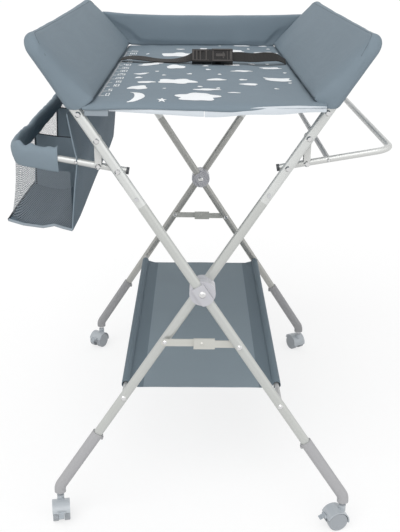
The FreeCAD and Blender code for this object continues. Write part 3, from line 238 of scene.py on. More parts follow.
def dress(material, *names):
    """Puts one finish on whole CAD nodes."""
    for name in names:
        for place in cad[name].material_slots:
            place.material = material


warm_silver = hard_finish("warm_silver_tube", (194, 196, 193), 0.32, metal=0.5, mottle=0.1)
bright_silver = hard_finish("bright_silver_tube", (212, 214, 212), 0.3, metal=0.5, mottle=0.08)
# The rear legs' darker silver is painted shade, not a different paint.
rear_leg_painted_shade = hard_finish("rear_leg_tube_painted_shade", (176, 176, 172), 0.36, metal=0.5, mottle=0.1)
for side in ("right", "left"):
    dress(warm_silver, f"leg_front_{side}")
    dress(rear_leg_painted_shade, f"leg_rear_{side}")
    dress(bright_silver, f"u_tube_{side}")

# ---- Snap buttons -----------------------------------------------------------
# Small steel domes on leaf springs inside the tubes. Pressed in, they free the
# upper tube so that it can be lifted off its legs.

polished = hard_finish("polished_steel", (205, 206, 208), 0.2, metal=1.0, mottle=0.04, relief=0.02)
dress(polished, "snap_buttons_right", "snap_buttons_left")

# ---- Leg ends ---------------------------------------------------------------
# Moulded grey sleeves with a slight grain, pushed over the tube ends and bent
# upright above the castors, with the castors' steel stems pressed in below.

moulding = {"metal": 0.1, "grain": 1400.0, "relief": 0.12}
sleeve_grey = hard_finish("sleeve_plastic", (172, 172, 174), 0.42, mottle=0.05, **moulding)
# The rear sleeves get a darker copy of the grey plastic as painted shade.
rear_sleeve_painted_shade = hard_finish("rear_sleeve_plastic_painted_shade", (154, 154, 156), 0.44, mottle=0.06, **moulding)
for side in ("left", "right"):
    dress(sleeve_grey, f"leg_end_front_{side}")
    dress(rear_sleeve_painted_shade, f"leg_end_rear_{side}")
dress(polished, "castor_stems_left", "castor_stems_right")

# ---- Hubs -------------------------------------------------------------------
# Pale moulded discs clamped round the crossing legs, front and rear, with one
# bright bolt through both. The frames turn on it as the table folds.

hub_grey = hard_finish("hub_plastic", (192, 192, 197), 0.32, mottle=0.04, relief=0.06, coat_weight=0.25)
dress(hub_grey, "hub_discs_right", "hub_discs_left")
bolt_steel = hard_finish("zinc_bolt", (214, 214, 214), 0.18, metal=1.0, mottle=0.1, relief=0.02)
dress(bolt_steel, "hub_bolts", "bolts_right", "bolts_left")

# ---- Rods, racks and strap plates -------------------------------------------
# Round tubes from front leg to rear leg carry the top and the shelf. The rack on
# the right and the bag's frame on the left are bent tubes hung on short plates.

rack_silver = hard_finish("rack_tube", (206, 207, 205), 0.32, metal=0.45, mottle=0.07)
# A darker copy of the rack's silver as painted shade, for the rods and cross bars.
shaded_silver = hard_finish("cross_bar_tube", (184, 185, 185), 0.36, metal=0.4, mottle=0.07)
dress(rack_silver, "rack_frame", "bag_frame", "strap_plates_right", "strap_plates_left")
dress(shaded_silver, "rack_cross_bar", "bag_cross_bar")
for side in ("right", "left"):
    dress(shaded_silver, f"table_rod_{side}", f"shelf_rod_{side}")
cap_grey = hard_finish("arm_cap_plastic", (72, 74, 78), 0.5, mottle=0.05, relief=0.1)
dress(cap_grey, "arm_caps_right", "arm_caps_left")

# ---- Folding stays ----------------------------------------------------------
# Two flat steel links between each pair of legs, riveted in the middle. The
# left one widens into a box that covers the joint and stops it when open.

stay_silver = hard_finish("stay_steel", (200, 200, 194), 0.36, metal=0.4, mottle=0.08)
dress(stay_silver, "stay_front_left", "stay_front_right", "stay_rear_left", "stay_rear_right")

# ---- Castors ----------------------------------------------------------------
# Twin-wheel castors in pale blue-grey plastic: a hooded housing that turns on
# the stem, two wheels on one axle with greyer tyres, and a brake tab.

castor_grey = hard_finish("castor_plastic", (180, 186, 191), 0.3, mottle=0.05, relief=0.05, coat_weight=0.3)
wheel_grey = hard_finish("castor_wheel_plastic", (160, 165, 170), 0.38, mottle=0.08, relief=0.08)
brake_grey = hard_finish("castor_brake_plastic", (168, 175, 181), 0.34, mottle=0.05, relief=0.05)
for corner in ("front_left", "front_right", "rear_left", "rear_right"):
    dress(castor_grey, f"castor_{corner}_housing")
    dress(wheel_grey, f"castor_{corner}_wheels")
    dress(brake_grey, f"castor_{corner}_brake")

# ---- Boards -----------------------------------------------------------------
# Two pale plastic boards under the pad, each hooked round its side rod. They
# meet in the middle when the table is open and hang down when it is folded.

board_pale = hard_finish("board_plastic", (206, 212, 217), 0.5, mottle=0.05, grain=500.0, relief=0.1)
dress(board_pale, "board_right", "board_left")

# ---- Padded top -------------------------------------------------------------
# Slate polyester with a close plain weave over thin foam. The flat pad lies on
# both boards; its two halves fold down with them. Its front edge rolls under.

weave, given, out = new_group(
    "slate_weave",
    [
        ("Dye", "Color", (0.2, 0.25, 0.28, 1)), ("Threads", "Float", 5200.0), ("Fade", "Float", 0.12),
        ("Roughness", "Float", 0.62),
    ],
)
spot = wire(weave, "TexCoord").outputs["Object"]
turns = wire(weave, "SeparateXYZ", {0: scaled(weave, spot, given["Threads"])}).outputs
waves = [reckon(weave, "SINE", turn) for turn in turns]
pairs = [reckon(weave, "MULTIPLY", waves[i], waves[(i + 1) % 3]) for i in range(3)]
yarn = reckon(weave, "ADD", reckon(weave, "ADD", pairs[0], pairs[1]), pairs[2])
wide = wire(weave, "TexNoise", {"Vector": spot, "Scale": 7.0, "Detail": 2.0}).outputs["Fac"]
slub = wire(weave, "TexNoise", {"Vector": spot, "Scale": 420.0, "Detail": 3.0}).outputs["Fac"]
drift = reckon(weave, "SUBTRACT", reckon(weave, "MULTIPLY_ADD", slub, 0.35, wide), 0.675)
drift = reckon(weave, "MULTIPLY", drift, given["Fade"])
tone = reckon(weave, "ADD", drift, reckon(weave, "MULTIPLY_ADD", yarn, 0.035, 1.0))
weave.links.new(scaled(weave, given["Dye"], tone), out["Color"])
weave.links.new(reckon(weave, "MULTIPLY_ADD", slub, 0.16, given["Roughness"]), out["Roughness"])
weave.links.new(reckon(weave, "MULTIPLY_ADD", slub, 1.2, yarn), out["Height"])


def cloth_finish(name, colour, threads=5200.0, fade=0.12, roughness=0.62, relief=0.25):
    """Woven cloth: yarns in relief, a fine slub and a slow drift of tone."""
    settings = {"Dye": dye(*colour), "Threads": threads, "Fade": fade, "Roughness": roughness}
    material, face = new_finish(name, weave, settings, colour, relief, 0.0003)
    face["Specular IOR Level"].default_value = 0.25
    return material


slate = cloth_finish("slate_cloth", (124, 138, 148))
# Darker seam thread. Along the sides' foot it also paints the shadow gap where the side meets the pad.
slate_seam_and_shade = cloth_finish("slate_seam_thread_and_shade", (86, 97, 106), relief=0.1)
crease = math.radians(55)


def sew(name, points, faces, *finishes):
    """A new smooth mesh piece from its points and faces."""
    mesh = bpy.data.meshes.new(name)
    mesh.from_pydata([tuple(p) for p in points], [], faces)
    piece = bpy.data.objects.new(name, mesh)
    scene.collection.objects.link(piece)
    for finish in finishes:
        mesh.materials.append(finish)
    work = bmesh.new()
    work.from_mesh(mesh)
    bmesh.ops.remove_doubles(work, verts=work.verts, dist=1e-6)
    bmesh.ops.recalc_face_normals(work, faces=work.faces)
    work.to_mesh(mesh)
    work.free()
    mesh.shade_smooth()
    mesh.set_sharp_from_angle(angle=crease)
    return piece


def loft(name, rings, *finishes, round_ring=True, ends=True):
    """A skin through rings of equally many points, with its two ends closed."""
    count = len(rings[0])
    points = [p for ring in rings for p in ring]
    spans = count if round_ring else count - 1
    faces = []
    for i in range(len(rings) - 1):
        for j in range(spans):
            k = (j + 1) % count
            faces.append((i * count + j, i * count + k, (i + 1) * count + k, (i + 1) * count + j))
    if ends and round_ring:
        faces += [tuple(range(count))[::-1], tuple(range((len(rings) - 1) * count, len(rings) * count))]
    return sew(name, points, faces, *finishes)


def finished(piece):
    """A piece as its modifiers leave it."""
    return piece.evaluated_get(bpy.context.evaluated_depsgraph_get())


def settle(piece):
    """Bakes a piece's modifiers into its mesh."""
    shaped = bpy.data.meshes.new_from_object(finished(piece))
    piece.modifiers.clear()
    piece.data = shaped
    shaped.shade_smooth()
    shaped.set_sharp_from_angle(angle=crease)


def round_off(piece):
    """Smooths a piece by one subdivision."""
    smooth = piece.modifiers.new("smooth", "SUBSURF")
    smooth.levels = smooth.render_levels = 1
    settle(piece)


def make_cloth(piece, thickness):
    """Gives an open surface the thickness of its cloth."""
    layer = piece.modifiers.new("cloth", "SOLIDIFY")
    layer.thickness = thickness
    layer.offset = 0
    settle(piece)


def puff(piece, reach, pressure):
    """Blows a closed skin up as cloth, holds each point near its start, then smooths it."""
    count, steps = len(piece.data.vertices), 20
    start = np.empty(count * 3)
    piece.data.vertices.foreach_get("co", start)
    start = start.reshape(-1, 3)
    swell = piece.modifiers.new("swell", "CLOTH")
    swell.settings.use_pressure = True
    swell.settings.uniform_pressure_force = pressure
    swell.settings.effector_weights.gravity = 0
    swell.point_cache.frame_start = 1
    swell.point_cache.frame_end = steps
    for number in range(1, steps + 1):
        scene.frame_set(number)
    blown = finished(piece).data
    now = np.empty(count * 3)
    blown.vertices.foreach_get("co", now)
    move = now.reshape(-1, 3) - start
    piece.modifiers.clear()
    scene.frame_set(1)
    far = np.linalg.norm(move, axis=1, keepdims=True)
    move *= np.minimum(1, reach / np.maximum(far, 1e-9))
    piece.data.vertices.foreach_set("co", (start + move).ravel())
    piece.data.update()
    round_off(piece)


def ripple(piece, depth, size, seed):
    """Gives a cloth piece slow, shallow waves along its own normals."""
    mesh = piece.data
    normals = [v.normal.copy() for v in mesh.vertices]
    for v, n in zip(mesh.vertices, normals):
        p = Vector((v.co.x / size + seed, v.co.y / size - seed, v.co.z / size))
        v.co += n * depth * (noise.noise(p) + 0.4 * noise.noise(p * 2.7))
    mesh.update()


def halve(piece, names):
    """Cuts a closed piece at x = 0 into a right and a left half, each closed again."""
    halves = []
    for name, keep_right in zip(names, (True, False)):
        half = bpy.data.objects.new(name, piece.data.copy())
        scene.collection.objects.link(half)
        work = bmesh.new()
        work.from_mesh(half.data)
        cut = bmesh.ops.bisect_plane(
            work, geom=work.verts[:] + work.edges[:] + work.faces[:], dist=1e-6, plane_co=(0, 0, 0),
            plane_no=(1, 0, 0), clear_outer=not keep_right, clear_inner=keep_right,
        )
        rim = [e for e in cut["geom_cut"] if isinstance(e, bmesh.types.BMEdge)]
        for face in bmesh.ops.edgeloop_fill(work, edges=rim)["faces"]:
            face.smooth = False
        for edge in rim:
            edge.smooth = False
        bmesh.ops.recalc_face_normals(work, faces=work.faces)
        work.to_mesh(half.data)
        work.free()
        halves.append(half)
    bpy.data.objects.remove(piece)
    return halves


pad_low, pad_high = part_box("table_pad")
half_width = pad_high.x
pad_top = pad_high.z
front_edge = [
    (-0.232, 0.8835), (-0.164, 0.8805), (-0.135, 0.8815), (-0.008, 0.8805), (0.044, 0.8793),
    (0.069, 0.883), (0.098, 0.887), (0.162, 0.8895), (0.232, 0.888),
]


def edge_height(x):
    """Height of the front edge's lower lip at x."""
    return float(np.interp(x, *zip(*front_edge)))


def flare(y):
    """How much wider than its rear the pad is at y: it widens to the sides' front corners."""
    widening, start, run = 0.10, -0.400, 0.025
    return 1 + widening * min(1, max(0, (start - y) / run))


pad_reach = half_width + 0.013
front = pad_low.y
depth_steps = np.linspace(front + 0.02, pad_high.y + 0.006, 92)
rings = []
for x in np.linspace(-pad_reach, pad_reach, 49):
    lip = edge_height(x)
    fall = 0.0015 * math.exp(-((abs(x) - pad_reach) / 0.01) ** 2)
    brow = pad_top - 0.011 if lip < 0.885 else (pad_top - 0.0065 + lip) / 2
    upper = pad_top - 0.0012 - fall * 0.6
    line = [(y, upper - 0.0025 * math.exp(-(y - front) / 0.03)) for y in depth_steps[::-1]]
    line += [(front + 0.012, pad_top - 0.0035), (front + 0.005, pad_top - 0.0065), (front + 0.001, brow)]
    line += [(front + 0.0005, lip), (front + 0.006, lip)]
    line += [(y, max(pad_low.z + 0.002, lip - (y - front) * 0.12)) for y in depth_steps[2::2]]
    rings.append([(x * flare(y), y, z) for y, z in line])
pad = loft("pad", rings, slate)
puff(pad, 0.003, pressure=2.0)
ripple(pad, 0.0014, 0.11, 3.7)
ripple(pad, 0.0005, 0.03, 9.1)
pad_surface = BVHTree.FromObject(pad, bpy.context.evaluated_depsgraph_get())
pad_right, pad_left = halve(pad, ("pad_right", "pad_left"))
for half, side in ((pad_right, "right"), (pad_left, "left")):
    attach(half, f"board_{side}")
    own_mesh(half)
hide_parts("table_pad")

# ---- Front strip ------------------------------------------------------------
# A band of pale frosted vinyl sewn under the front edge. It hangs clear on the
# right, shows less on the left, and is split where the boards meet.

frosted = hard_finish("frosted_vinyl", (212, 219, 225), 0.35, mottle=0.05, grain=300.0, relief=0.05)


def band(name, low_line, high_line, y, thickness, finish):
    """An upright strip between two lines of (x, z) points."""
    bulge, rear = 0.0012, y + thickness
    rings = []
    for (x, low), (_, high) in zip(low_line, high_line):
        mid = (low + high) / 2
        rings.append([
            (x, y, low), (x, y - bulge, mid), (x, y, high),
            (x, rear, high), (x, rear - bulge, mid), (x, rear, low),
        ])
    return loft(name, rings, finish)


strip_y = pad_low.y + 0.004
# The short tab at the strip's left end gets darker vinyl as painted shade.
shaded_vinyl = hard_finish("shaded_vinyl", (146, 156, 164), 0.4, mottle=0.05, grain=300.0, relief=0.05)
tuck, vinyl = 0.002, 0.0012
right_xs, left_xs, tab_xs = (
    np.linspace(0.0006, 0.212, 30), np.linspace(-0.166, -0.0006, 24), np.linspace(-0.208, -0.167, 9),
)
low_right = [(x, 0.8705 + 0.0095 * (x / 0.2) - 0.001 * math.sin(x * 60)) for x in right_xs]
low_left = [(x, float(np.interp(x, (-0.164, -0.01), (0.8798, 0.8712)))) for x in left_xs]
low_tab = [(x, 0.8720 + 0.001 * math.sin(x * 45)) for x in tab_xs]
for name, side, lows, finish in (
    ("front_strip_right", "right", low_right, frosted), ("front_strip_left", "left", low_left, frosted),
    ("front_strip_tab", "left", low_tab, shaded_vinyl),
):
    highs = [(x, max(edge_height(x) + tuck, z + tuck)) for x, z in lows]
    strip = band(name, lows, highs, strip_y, vinyl, finish)
    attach(strip, f"board_{side}")
    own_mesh(strip)

# ---- Raised sides -----------------------------------------------------------
# The same slate cloth over foam, pulled like a sleeve over each U tube. It leans
# outward with the legs and is stitched to the flat pad along its foot.

lean_angle = math.radians(33)
hub_height = 0.534


def on_side(side, out, along, y):
    """A point given across and along the right or left leg line."""
    x = along * math.sin(lean_angle) + out * math.cos(lean_angle)
    z = hub_height + along * math.cos(lean_angle) - out * math.sin(lean_angle)
    return (side * x, y, z)


def arc(cx, cy, radius, start, stop, count):
    """Points on an arc, its angles in degrees."""
    angles = [math.radians(start + (stop - start) * i / (count - 1)) for i in range(count)]
    return [(cx + radius * math.cos(a), cy + radius * math.sin(a)) for a in angles]


foot, crown_height, corner_radius, end_y = 0.4085, 0.5652, 0.041, 0.4380
right_middle, right_reach = 0.013, 0.4245


def side_y(side, stop):
    """The depth of a stop along a raised side: the right one is a little shorter."""
    return right_middle + stop * right_reach / end_y if side == "right" else stop


def corner_drop(end):
    """How far a side's round corner falls below its crown, a distance from the end."""
    return corner_radius - math.sqrt(max(0, corner_radius ** 2 - max(0, corner_radius - end) ** 2))


section = [
    (-0.0405 + 0.0270 * t - 0.0020 * math.sin(math.pi * t), foot + 0.142 * t) for t in np.linspace(0, 1, 17)
]
section += arc(-0.0006, 0.5520, 0.0132, 172, 8, 9)
section += [(0.0125 - 0.0005 * t, 0.549 - 0.128 * t) for t in np.linspace(0.05, 1, 15)]
section += [(0.004, foot + 0.006), (-0.010, foot + 0.0035), (-0.024, foot + 0.0015)]
end_stops = [s * (end_y - d) for s in (-1, 1) for d in (0.0008, 0.0025, 0.0055, 0.011)]
stops = sorted(set(list(np.linspace(-end_y, end_y, 111)) + end_stops))
core = -0.011
sides = {}
for side, sign in (("right", 1), ("left", -1)):
    rings = []
    for stop in stops:
        y = side_y(side, stop)
        end = end_y - abs(stop)
        drop = corner_drop(end)
        thin = 0.22 + 0.78 * math.sqrt(max(0, 1 - max(0, 1 - end / 0.013) ** 2))
        pinch = 0.45 * math.exp(-end / 0.030)
        ring = []
        for out_by, along in section:
            share = (along - foot) / (crown_height - foot)
            middle = -0.004 + 0.004 * share
            rise = 0.0030 * y / end_y - 0.0015 * math.exp(-(y / 0.3) ** 2)
            height = crown_height - foot - drop + rise * share
            hollow = 1 - pinch * (1 if y < 0 else 0) * min(1, 2.5 * share)
            out_by = core + (out_by - core) * hollow if out_by < core else out_by
            up = foot + (along - foot) * height / (crown_height - foot)
            ring.append(on_side(sign, middle + (out_by - middle) * thin, up, y))
        rings.append(ring)
    bolster = loft(f"raised_side_{side}", rings, slate)
    puff(bolster, 0.0018, pressure=3.0)
    ripple(bolster, 0.0008, 0.13, 2.0 + sign)
    ripple(bolster, 0.0003, 0.035, 7.0 + sign)
    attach(bolster, f"frame_{side}")
    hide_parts(f"bolster_{side}")
    sides[side] = BVHTree.FromObject(bolster, bpy.context.evaluated_depsgraph_get())


def on_skin(surface, p, lift=0.0):
    """The point of a surface nearest to p, lifted off it."""
    hit, normal, _, _ = surface.find_nearest(Vector(p))
    return hit + normal * lift


def thread_line(name, path, radius, finish, body):
    """A stitched line or piping: a fine flexible bead along a path."""
    curve = bpy.data.curves.new(name, "CURVE")
    curve.dimensions = "3D"
    curve.bevel_depth = radius
    curve.bevel_resolution = 2
    spline = curve.splines.new("POLY")
    spline.points.add(len(path) - 1)
    for point, place in zip(spline.points, path):
        point.co = (*place, 1)
    curve.materials.append(finish)
    line = bpy.data.objects.new(name, curve)
    scene.collection.objects.link(line)
    bead = bpy.data.meshes.new_from_object(finished(line))
    bpy.data.objects.remove(line)
    piece = bpy.data.objects.new(name, bead)
    scene.collection.objects.link(piece)
    bead.shade_smooth()
    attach(piece, body)


seam_inset = 0.006
for side, sign, seam_front in (("right", 1, -0.405), ("left", -1, -0.418)):
    top_seam = []
    for t in np.linspace(0, 1, 120):
        stop = -end_y + seam_inset + (2 * end_y - 2 * seam_inset) * t
        drop = corner_drop(end_y - seam_inset - abs(stop))
        near = on_side(sign, -0.0125, crown_height - 0.009 - drop, side_y(side, stop))
        top_seam.append(on_skin(sides[side], near, -0.0002))
    thread_line(f"side_top_seam_{side}", top_seam, 0.0006, slate_seam_and_shade, f"frame_{side}")
    # The foot seam's dark bead is partly a real seam and partly painted shade of the crease against the pad.
    foot_line = [on_side(sign, -0.040, foot + 0.002, y) for y in np.linspace(seam_front, 0.425, 90)]
    foot_seam = [on_skin(sides[side], near) for near in foot_line]
    thread_line(f"side_foot_seam_{side}", foot_seam, 0.0013, slate_seam_and_shade, f"frame_{side}")

# ---- Raised back ------------------------------------------------------------
# A lower padded panel sewn between the raised sides behind the pad. It crumples
# as the sides close; here it is cut into a right and a left half.

back_low, back_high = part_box("bolster_rear")
low_half = on_side(1, -0.0405, foot, 0)[0] + 0.008
high_half = back_high.x + 0.012
foot_z = pad_top - 0.006
front, rear = back_low.y - 0.0005, back_high.y - 0.001
rings = []
for f in np.linspace(-1, 1, 57):
    top_z = back_high.z - 0.0055 - 0.0045 * (1 - f * f)
    ring = []
    for t in np.linspace(0, 1, 11):
        x = f * (low_half + (high_half - low_half) * t)
        belly = 0.0015 * math.sin(math.pi * t)
        ring.append((x, front - belly - 0.004 * math.exp(-t / 0.08), foot_z + (top_z - foot_z) * t))
    for a in (math.radians(35), math.radians(90), math.radians(145)):
        y = (front + rear) / 2 - (rear - front) / 2 * math.cos(a)
        ring.append((f * high_half, y, top_z + 0.0045 * math.sin(a)))
    for t in np.linspace(1, 0, 11):
        x = f * (low_half + (high_half - low_half) * t)
        ring.append((x, rear + 0.0005 * math.sin(math.pi * t), foot_z + (top_z - foot_z) * t))
    rings.append(ring)
back = loft("raised_back", rings, slate)
puff(back, 0.003, pressure=3.0)
ripple(back, 0.0013, 0.10, 5.5)
back_right, back_left = halve(back, ("raised_back_right", "raised_back_left"))
for half, side, sign in ((back_right, "right", 1), (back_left, "left", -1)):
    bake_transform(half)
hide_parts("bolster_rear")

# ---- Print on the pad -------------------------------------------------------
# White ink on the cloth: a moon, a star, clouds and small flecks, and a plain
# measuring scale in centimetres along the left seam.

ink = cloth_finish("white_ink", (246, 249, 251), fade=0.02, roughness=0.5, relief=0.08)


def cloud(x, y, width, depth, seed):
    """A flat-bottomed cloud outline made of a few round lobes."""
    lobes = 3 + int(width > 0.045) + int(width > 0.07)
    outline = []
    for i in range(64):
        a = 2 * math.pi * i / 64
        r = 1 + 0.13 * math.sin(lobes * a + seed) + 0.07 * math.sin((lobes + 2) * a + 2.1 * seed)
        px, py = math.cos(a) * r, math.sin(a) * r
        py = py * (0.72 if py < 0 else 1.0)
        outline.append((x + px * width * 0.46, y + py * depth * 0.5))
    return outline


def moon(x, y, width, depth):
    """A crescent that opens to the left, about the middle of its tips."""
    outer = [(width * math.cos(a), depth * math.sin(a)) for a in np.linspace(-math.pi / 2, math.pi / 2, 30)]
    inner = [(0.36 * width * math.cos(a), 0.93 * depth * math.sin(a)) for a in np.linspace(1.5, -1.5, 24)]
    return [(x + px, y + py) for px, py in outer + inner]


def star(x, y, width, depth):
    """A small five-pointed star."""
    outline = []
    for i in range(10):
        a, reach = math.pi * i / 5, 1 if i % 2 == 0 else 0.42
        outline.append((x + math.sin(a) * width / 2 * reach, y + math.cos(a) * depth / 2 * reach))
    return outline


shapes = [moon(-0.1350, -0.385, 0.0290, 0.042), star(-0.0745, -0.4115, 0.019, 0.030)]
clouds = (
    (-0.012, -0.385, 0.080, 0.080), (0.006, -0.312, 0.052, 0.024), (0.055, -0.343, 0.026, 0.010),
    (-0.124, -0.294, 0.040, 0.050), (0.088, -0.250, 0.036, 0.030), (-0.113, -0.228, 0.038, 0.028),
    (-0.052, -0.222, 0.084, 0.062), (0.026, -0.192, 0.042, 0.028), (0.151, -0.160, 0.062, 0.048),
    (-0.129, -0.107, 0.032, 0.024), (0.082, -0.078, 0.048, 0.026), (-0.060, -0.018, 0.044, 0.060),
    (0.150, 0.000, 0.050, 0.034), (0.067, 0.015, 0.036, 0.026), (-0.117, 0.040, 0.058, 0.048),
    (-0.061, 0.190, 0.084, 0.074), (0.160, 0.262, 0.060, 0.046), (0.082, 0.275, 0.048, 0.050),
    (0.106, 0.400, 0.050, 0.026), (-0.055, 0.306, 0.024, 0.020), (0.079, -0.191, 0.018, 0.018),
    (-0.132, -0.159, 0.016, 0.020), (0.112, 0.047, 0.016, 0.018), (0.163, 0.405, 0.024, 0.022),
    (0.004, 0.318, 0.020, 0.028), (0.139, -0.275, 0.010, 0.012), (-0.007, -0.278, 0.011, 0.016),
    (0.027, -0.296, 0.009, 0.014), (-0.074, -0.300, 0.007, 0.010), (0.173, -0.197, 0.008, 0.014),
    (-0.081, -0.139, 0.009, 0.014), (0.034, -0.126, 0.008, 0.018), (-0.028, -0.123, 0.012, 0.016),
    (-0.097, -0.087, 0.009, 0.014), (0.175, -0.070, 0.008, 0.014), (0.011, -0.052, 0.012, 0.020),
    (0.006, -0.003, 0.015, 0.018), (0.148, 0.064, 0.009, 0.016), (-0.120, 0.115, 0.012, 0.012),
    (-0.134, 0.220, 0.009, 0.018), (0.120, 0.333, 0.008, 0.018), (0.172, 0.345, 0.010, 0.018),
    (0.047, 0.392, 0.009, 0.018), (0.050, 0.130, 0.016, 0.014), (-0.010, 0.235, 0.022, 0.010),
)
for i, (x, y, width, depth) in enumerate(clouds):
    shapes.append(cloud(x, y, width, depth, 1.3 * i + 0.4))
BARS = {
    "0": "abcdef", "1": "bc", "2": "abged", "3": "abgcd", "4": "fgbc",
    "5": "afgcd", "6": "afgedc", "7": "abc", "8": "abcdefg", "9": "abcdfg",
}
STROKES = {
    "a": ((0, 1), (1, 1)), "b": ((1, 1), (1, 0.5)), "c": ((1, 0.5), (1, 0)), "d": ((0, 0), (1, 0)),
    "e": ((0, 0.5), (0, 0)), "f": ((0, 1), (0, 0.5)), "g": ((0, 0.5), (1, 0.5)),
}


def bar(x0, y0, x1, y1):
    """A printed bar between two opposite corners."""
    return [(x0, y0), (x1, y0), (x1, y1), (x0, y1)]


def figure(text, x, y, width=0.0056, depth=0.022, line=0.0017):
    """The bars of a number, its lower left corner at x, y."""
    bars = []
    for i, digit in enumerate(text):
        left = x + i * (width + 0.0032)
        for (u0, v0), (u1, v1) in (STROKES[name] for name in BARS[digit]):
            low_x, high_x = left + min(u0, u1) * width, left + max(u0, u1) * width
            low_y, high_y = y + min(v0, v1) * depth, y + max(v0, v1) * depth
            bars.append(bar(low_x - line / 2, low_y - line, high_x + line / 2, high_y + line))
    return bars


scale_x, scale_front, half_mark = -0.1905, -0.367, 0.0016
for centimetre in range(0, 66):
    y = scale_front + centimetre * 0.01
    length = 0.0105 if centimetre % 5 == 0 else 0.0035
    shapes.append(bar(scale_x, y - half_mark, scale_x + length, y + half_mark))
    if centimetre % 5 == 0:
        shapes += figure(str(centimetre), scale_x + 0.0128, y - 0.001)


def printed(piece, sign):
    """Keeps a print's half on one side of x = 0, cuts it fine and lays it on the pad."""
    work = bmesh.new()
    work.from_mesh(piece.data)
    bmesh.ops.bisect_plane(
        work, geom=work.verts[:] + work.edges[:] + work.faces[:], dist=1e-7, plane_co=(0, 0, 0),
        plane_no=(sign, 0, 0), clear_inner=True,
    )
    bmesh.ops.triangulate(work, faces=work.faces)
    for _ in range(4):
        long_edges = [e for e in work.edges if e.calc_length() > 0.009]
        if long_edges:
            bmesh.ops.subdivide_edges(work, edges=long_edges, cuts=1)
            bmesh.ops.triangulate(work, faces=work.faces)
    for v in work.verts:
        hit = pad_surface.ray_cast(Vector((v.co.x, v.co.y, 1.0)), Vector((0, 0, -1)))[0]
        v.co.z = (hit.z if hit else pad_top) + 0.0004
    work.to_mesh(piece.data)
    work.free()
    piece.data.shade_smooth()


flat_points, flat_faces = [], []
for outline in shapes:
    flat_faces.append(tuple(range(len(flat_points), len(flat_points) + len(outline))))
    flat_points += [(x, y, 1.0) for x, y in outline]
ink_shapes = sew("ink_shapes", flat_points, flat_faces, ink)
for name, side, sign in (("print_right", "right", 1), ("print_left", "left", -1)):
    half = bpy.data.objects.new(name, ink_shapes.data.copy())
    scene.collection.objects.link(half)
    printed(half, sign)
    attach(half, f"board_{side}")
    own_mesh(half)
bpy.data.objects.remove(ink_shapes)

# ---- Safety strap and buckle ------------------------------------------------
# Dark ribbed webbing sewn into both side seams, lying loosely over the pad, with
# a black side-release buckle that stands on its edge and has moulded ribs.

webbing = cloth_finish("dark_webbing", (44, 43, 42), threads=3000.0, fade=0.1, roughness=0.5, relief=0.6)
buckle_black = hard_finish("buckle_plastic", (27, 26, 26), 0.36, mottle=0.08, relief=0.15)
buckle_black.node_tree.nodes["Principled BSDF"].inputs["Specular IOR Level"].default_value = 0.3
# The ribs are the same black plastic; their lighter colour is a painted highlight.
rib_painted_highlight = hard_finish("buckle_rib_painted_highlight", (62, 58, 56), 0.3, mottle=0.1, relief=0.1)
dress(buckle_black, "buckle_body", "buckle_tongue")
body_low, body_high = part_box("buckle_body")
tongue_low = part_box("buckle_tongue")[0]
buckle_y, buckle_z = (body_low.y + body_high.y) / 2, (body_low.z + body_high.z) / 2
slant = math.sqrt(0.5)


def moulded(name, bars, root, body):
    """Raised ribs on the buckle's slanted face: each bar is its x range, its range across and its height."""
    points, faces = [], []
    soft, corners, cuts = 0.0007, 6, 4
    for x0, x1, low, high, proud in bars:
        start = len(points)
        for x, inset in ((x0, soft), (x0 + soft, 0), (x1 - soft, 0), (x1, soft)):
            top = proud - inset
            outline = [
                (low + inset, root), (low + inset, top - soft), (low + inset + soft, top),
                (high - inset - soft, top), (high - inset, top - soft), (high - inset, root),
            ]
            points += [(x, buckle_y + slant * (a - h), buckle_z + slant * (a + h)) for a, h in outline]
        for first in range(start, start + (cuts - 1) * corners, corners):
            for j in range(corners):
                k = (j + 1) % corners
                faces.append((first + j, first + k, first + corners + k, first + corners + j))
        last = start + (cuts - 1) * corners
        faces += [tuple(range(start, start + corners))[::-1], tuple(range(last, last + corners))]
    ribs = sew(name, points, faces, rib_painted_highlight)
    ribs.data.shade_flat()
    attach(ribs, body)


body_bars = [
    (0.0210, 0.0660, 0.0130, 0.0172, 0.0072), (0.0210, 0.0660, -0.0172, -0.0130, 0.0072),
    (0.0600, 0.0655, -0.0125, 0.0125, 0.0068), (0.0212, 0.0246, -0.0125, 0.0125, 0.0064),
    (0.0290, 0.0500, -0.0042, 0.0042, 0.0066), (0.0440, 0.0475, -0.0090, 0.0090, 0.0062),
    (0.0535, 0.0560, -0.0120, 0.0120, 0.0060),
]
tongue_bars = [
    (-0.0232, -0.0195, -0.0150, 0.0150, 0.0066), (-0.0150, -0.0118, -0.0150, 0.0150, 0.0060),
    (-0.0072, -0.0042, -0.0150, 0.0150, 0.0060), (0.0060, 0.0092, -0.0150, 0.0150, 0.0060),
    (-0.0232, 0.0140, 0.0122, 0.0150, 0.0058), (-0.0232, 0.0140, -0.0150, -0.0122, 0.0058),
]
moulded("buckle_body_ribs", body_bars, 0.0040, "hub")
moulded("buckle_tongue_ribs", tongue_bars, 0.0030, "buckle_tongue")


def ribbon(name, path, width, thickness, finish):
    """Webbing along a path of (point, tilt): tilt 0 lies flat, 90 stands on edge."""
    across = 6
    rings = []
    for i, (p, tilt) in enumerate(path):
        p = Vector(p)
        before, after = Vector(path[max(i - 1, 0)][0]), Vector(path[min(i + 1, len(path) - 1)][0])
        along = (after - before).normalized()
        flat = Vector((0, 0, 1)).cross(along).normalized()
        up = along.cross(flat).normalized()
        a = math.radians(tilt)
        wide = flat * math.cos(a) + up * math.sin(a)
        thick = along.cross(wide).normalized()
        ring = [p + wide * width * (j / across - 0.5) + thick * thickness * 0.5 for j in range(across + 1)]
        ring += [p + wide * width * (0.5 - j / across) - thick * thickness * 0.5 for j in range(across + 1)]
        rings.append(ring)
    return loft(name, rings, finish)


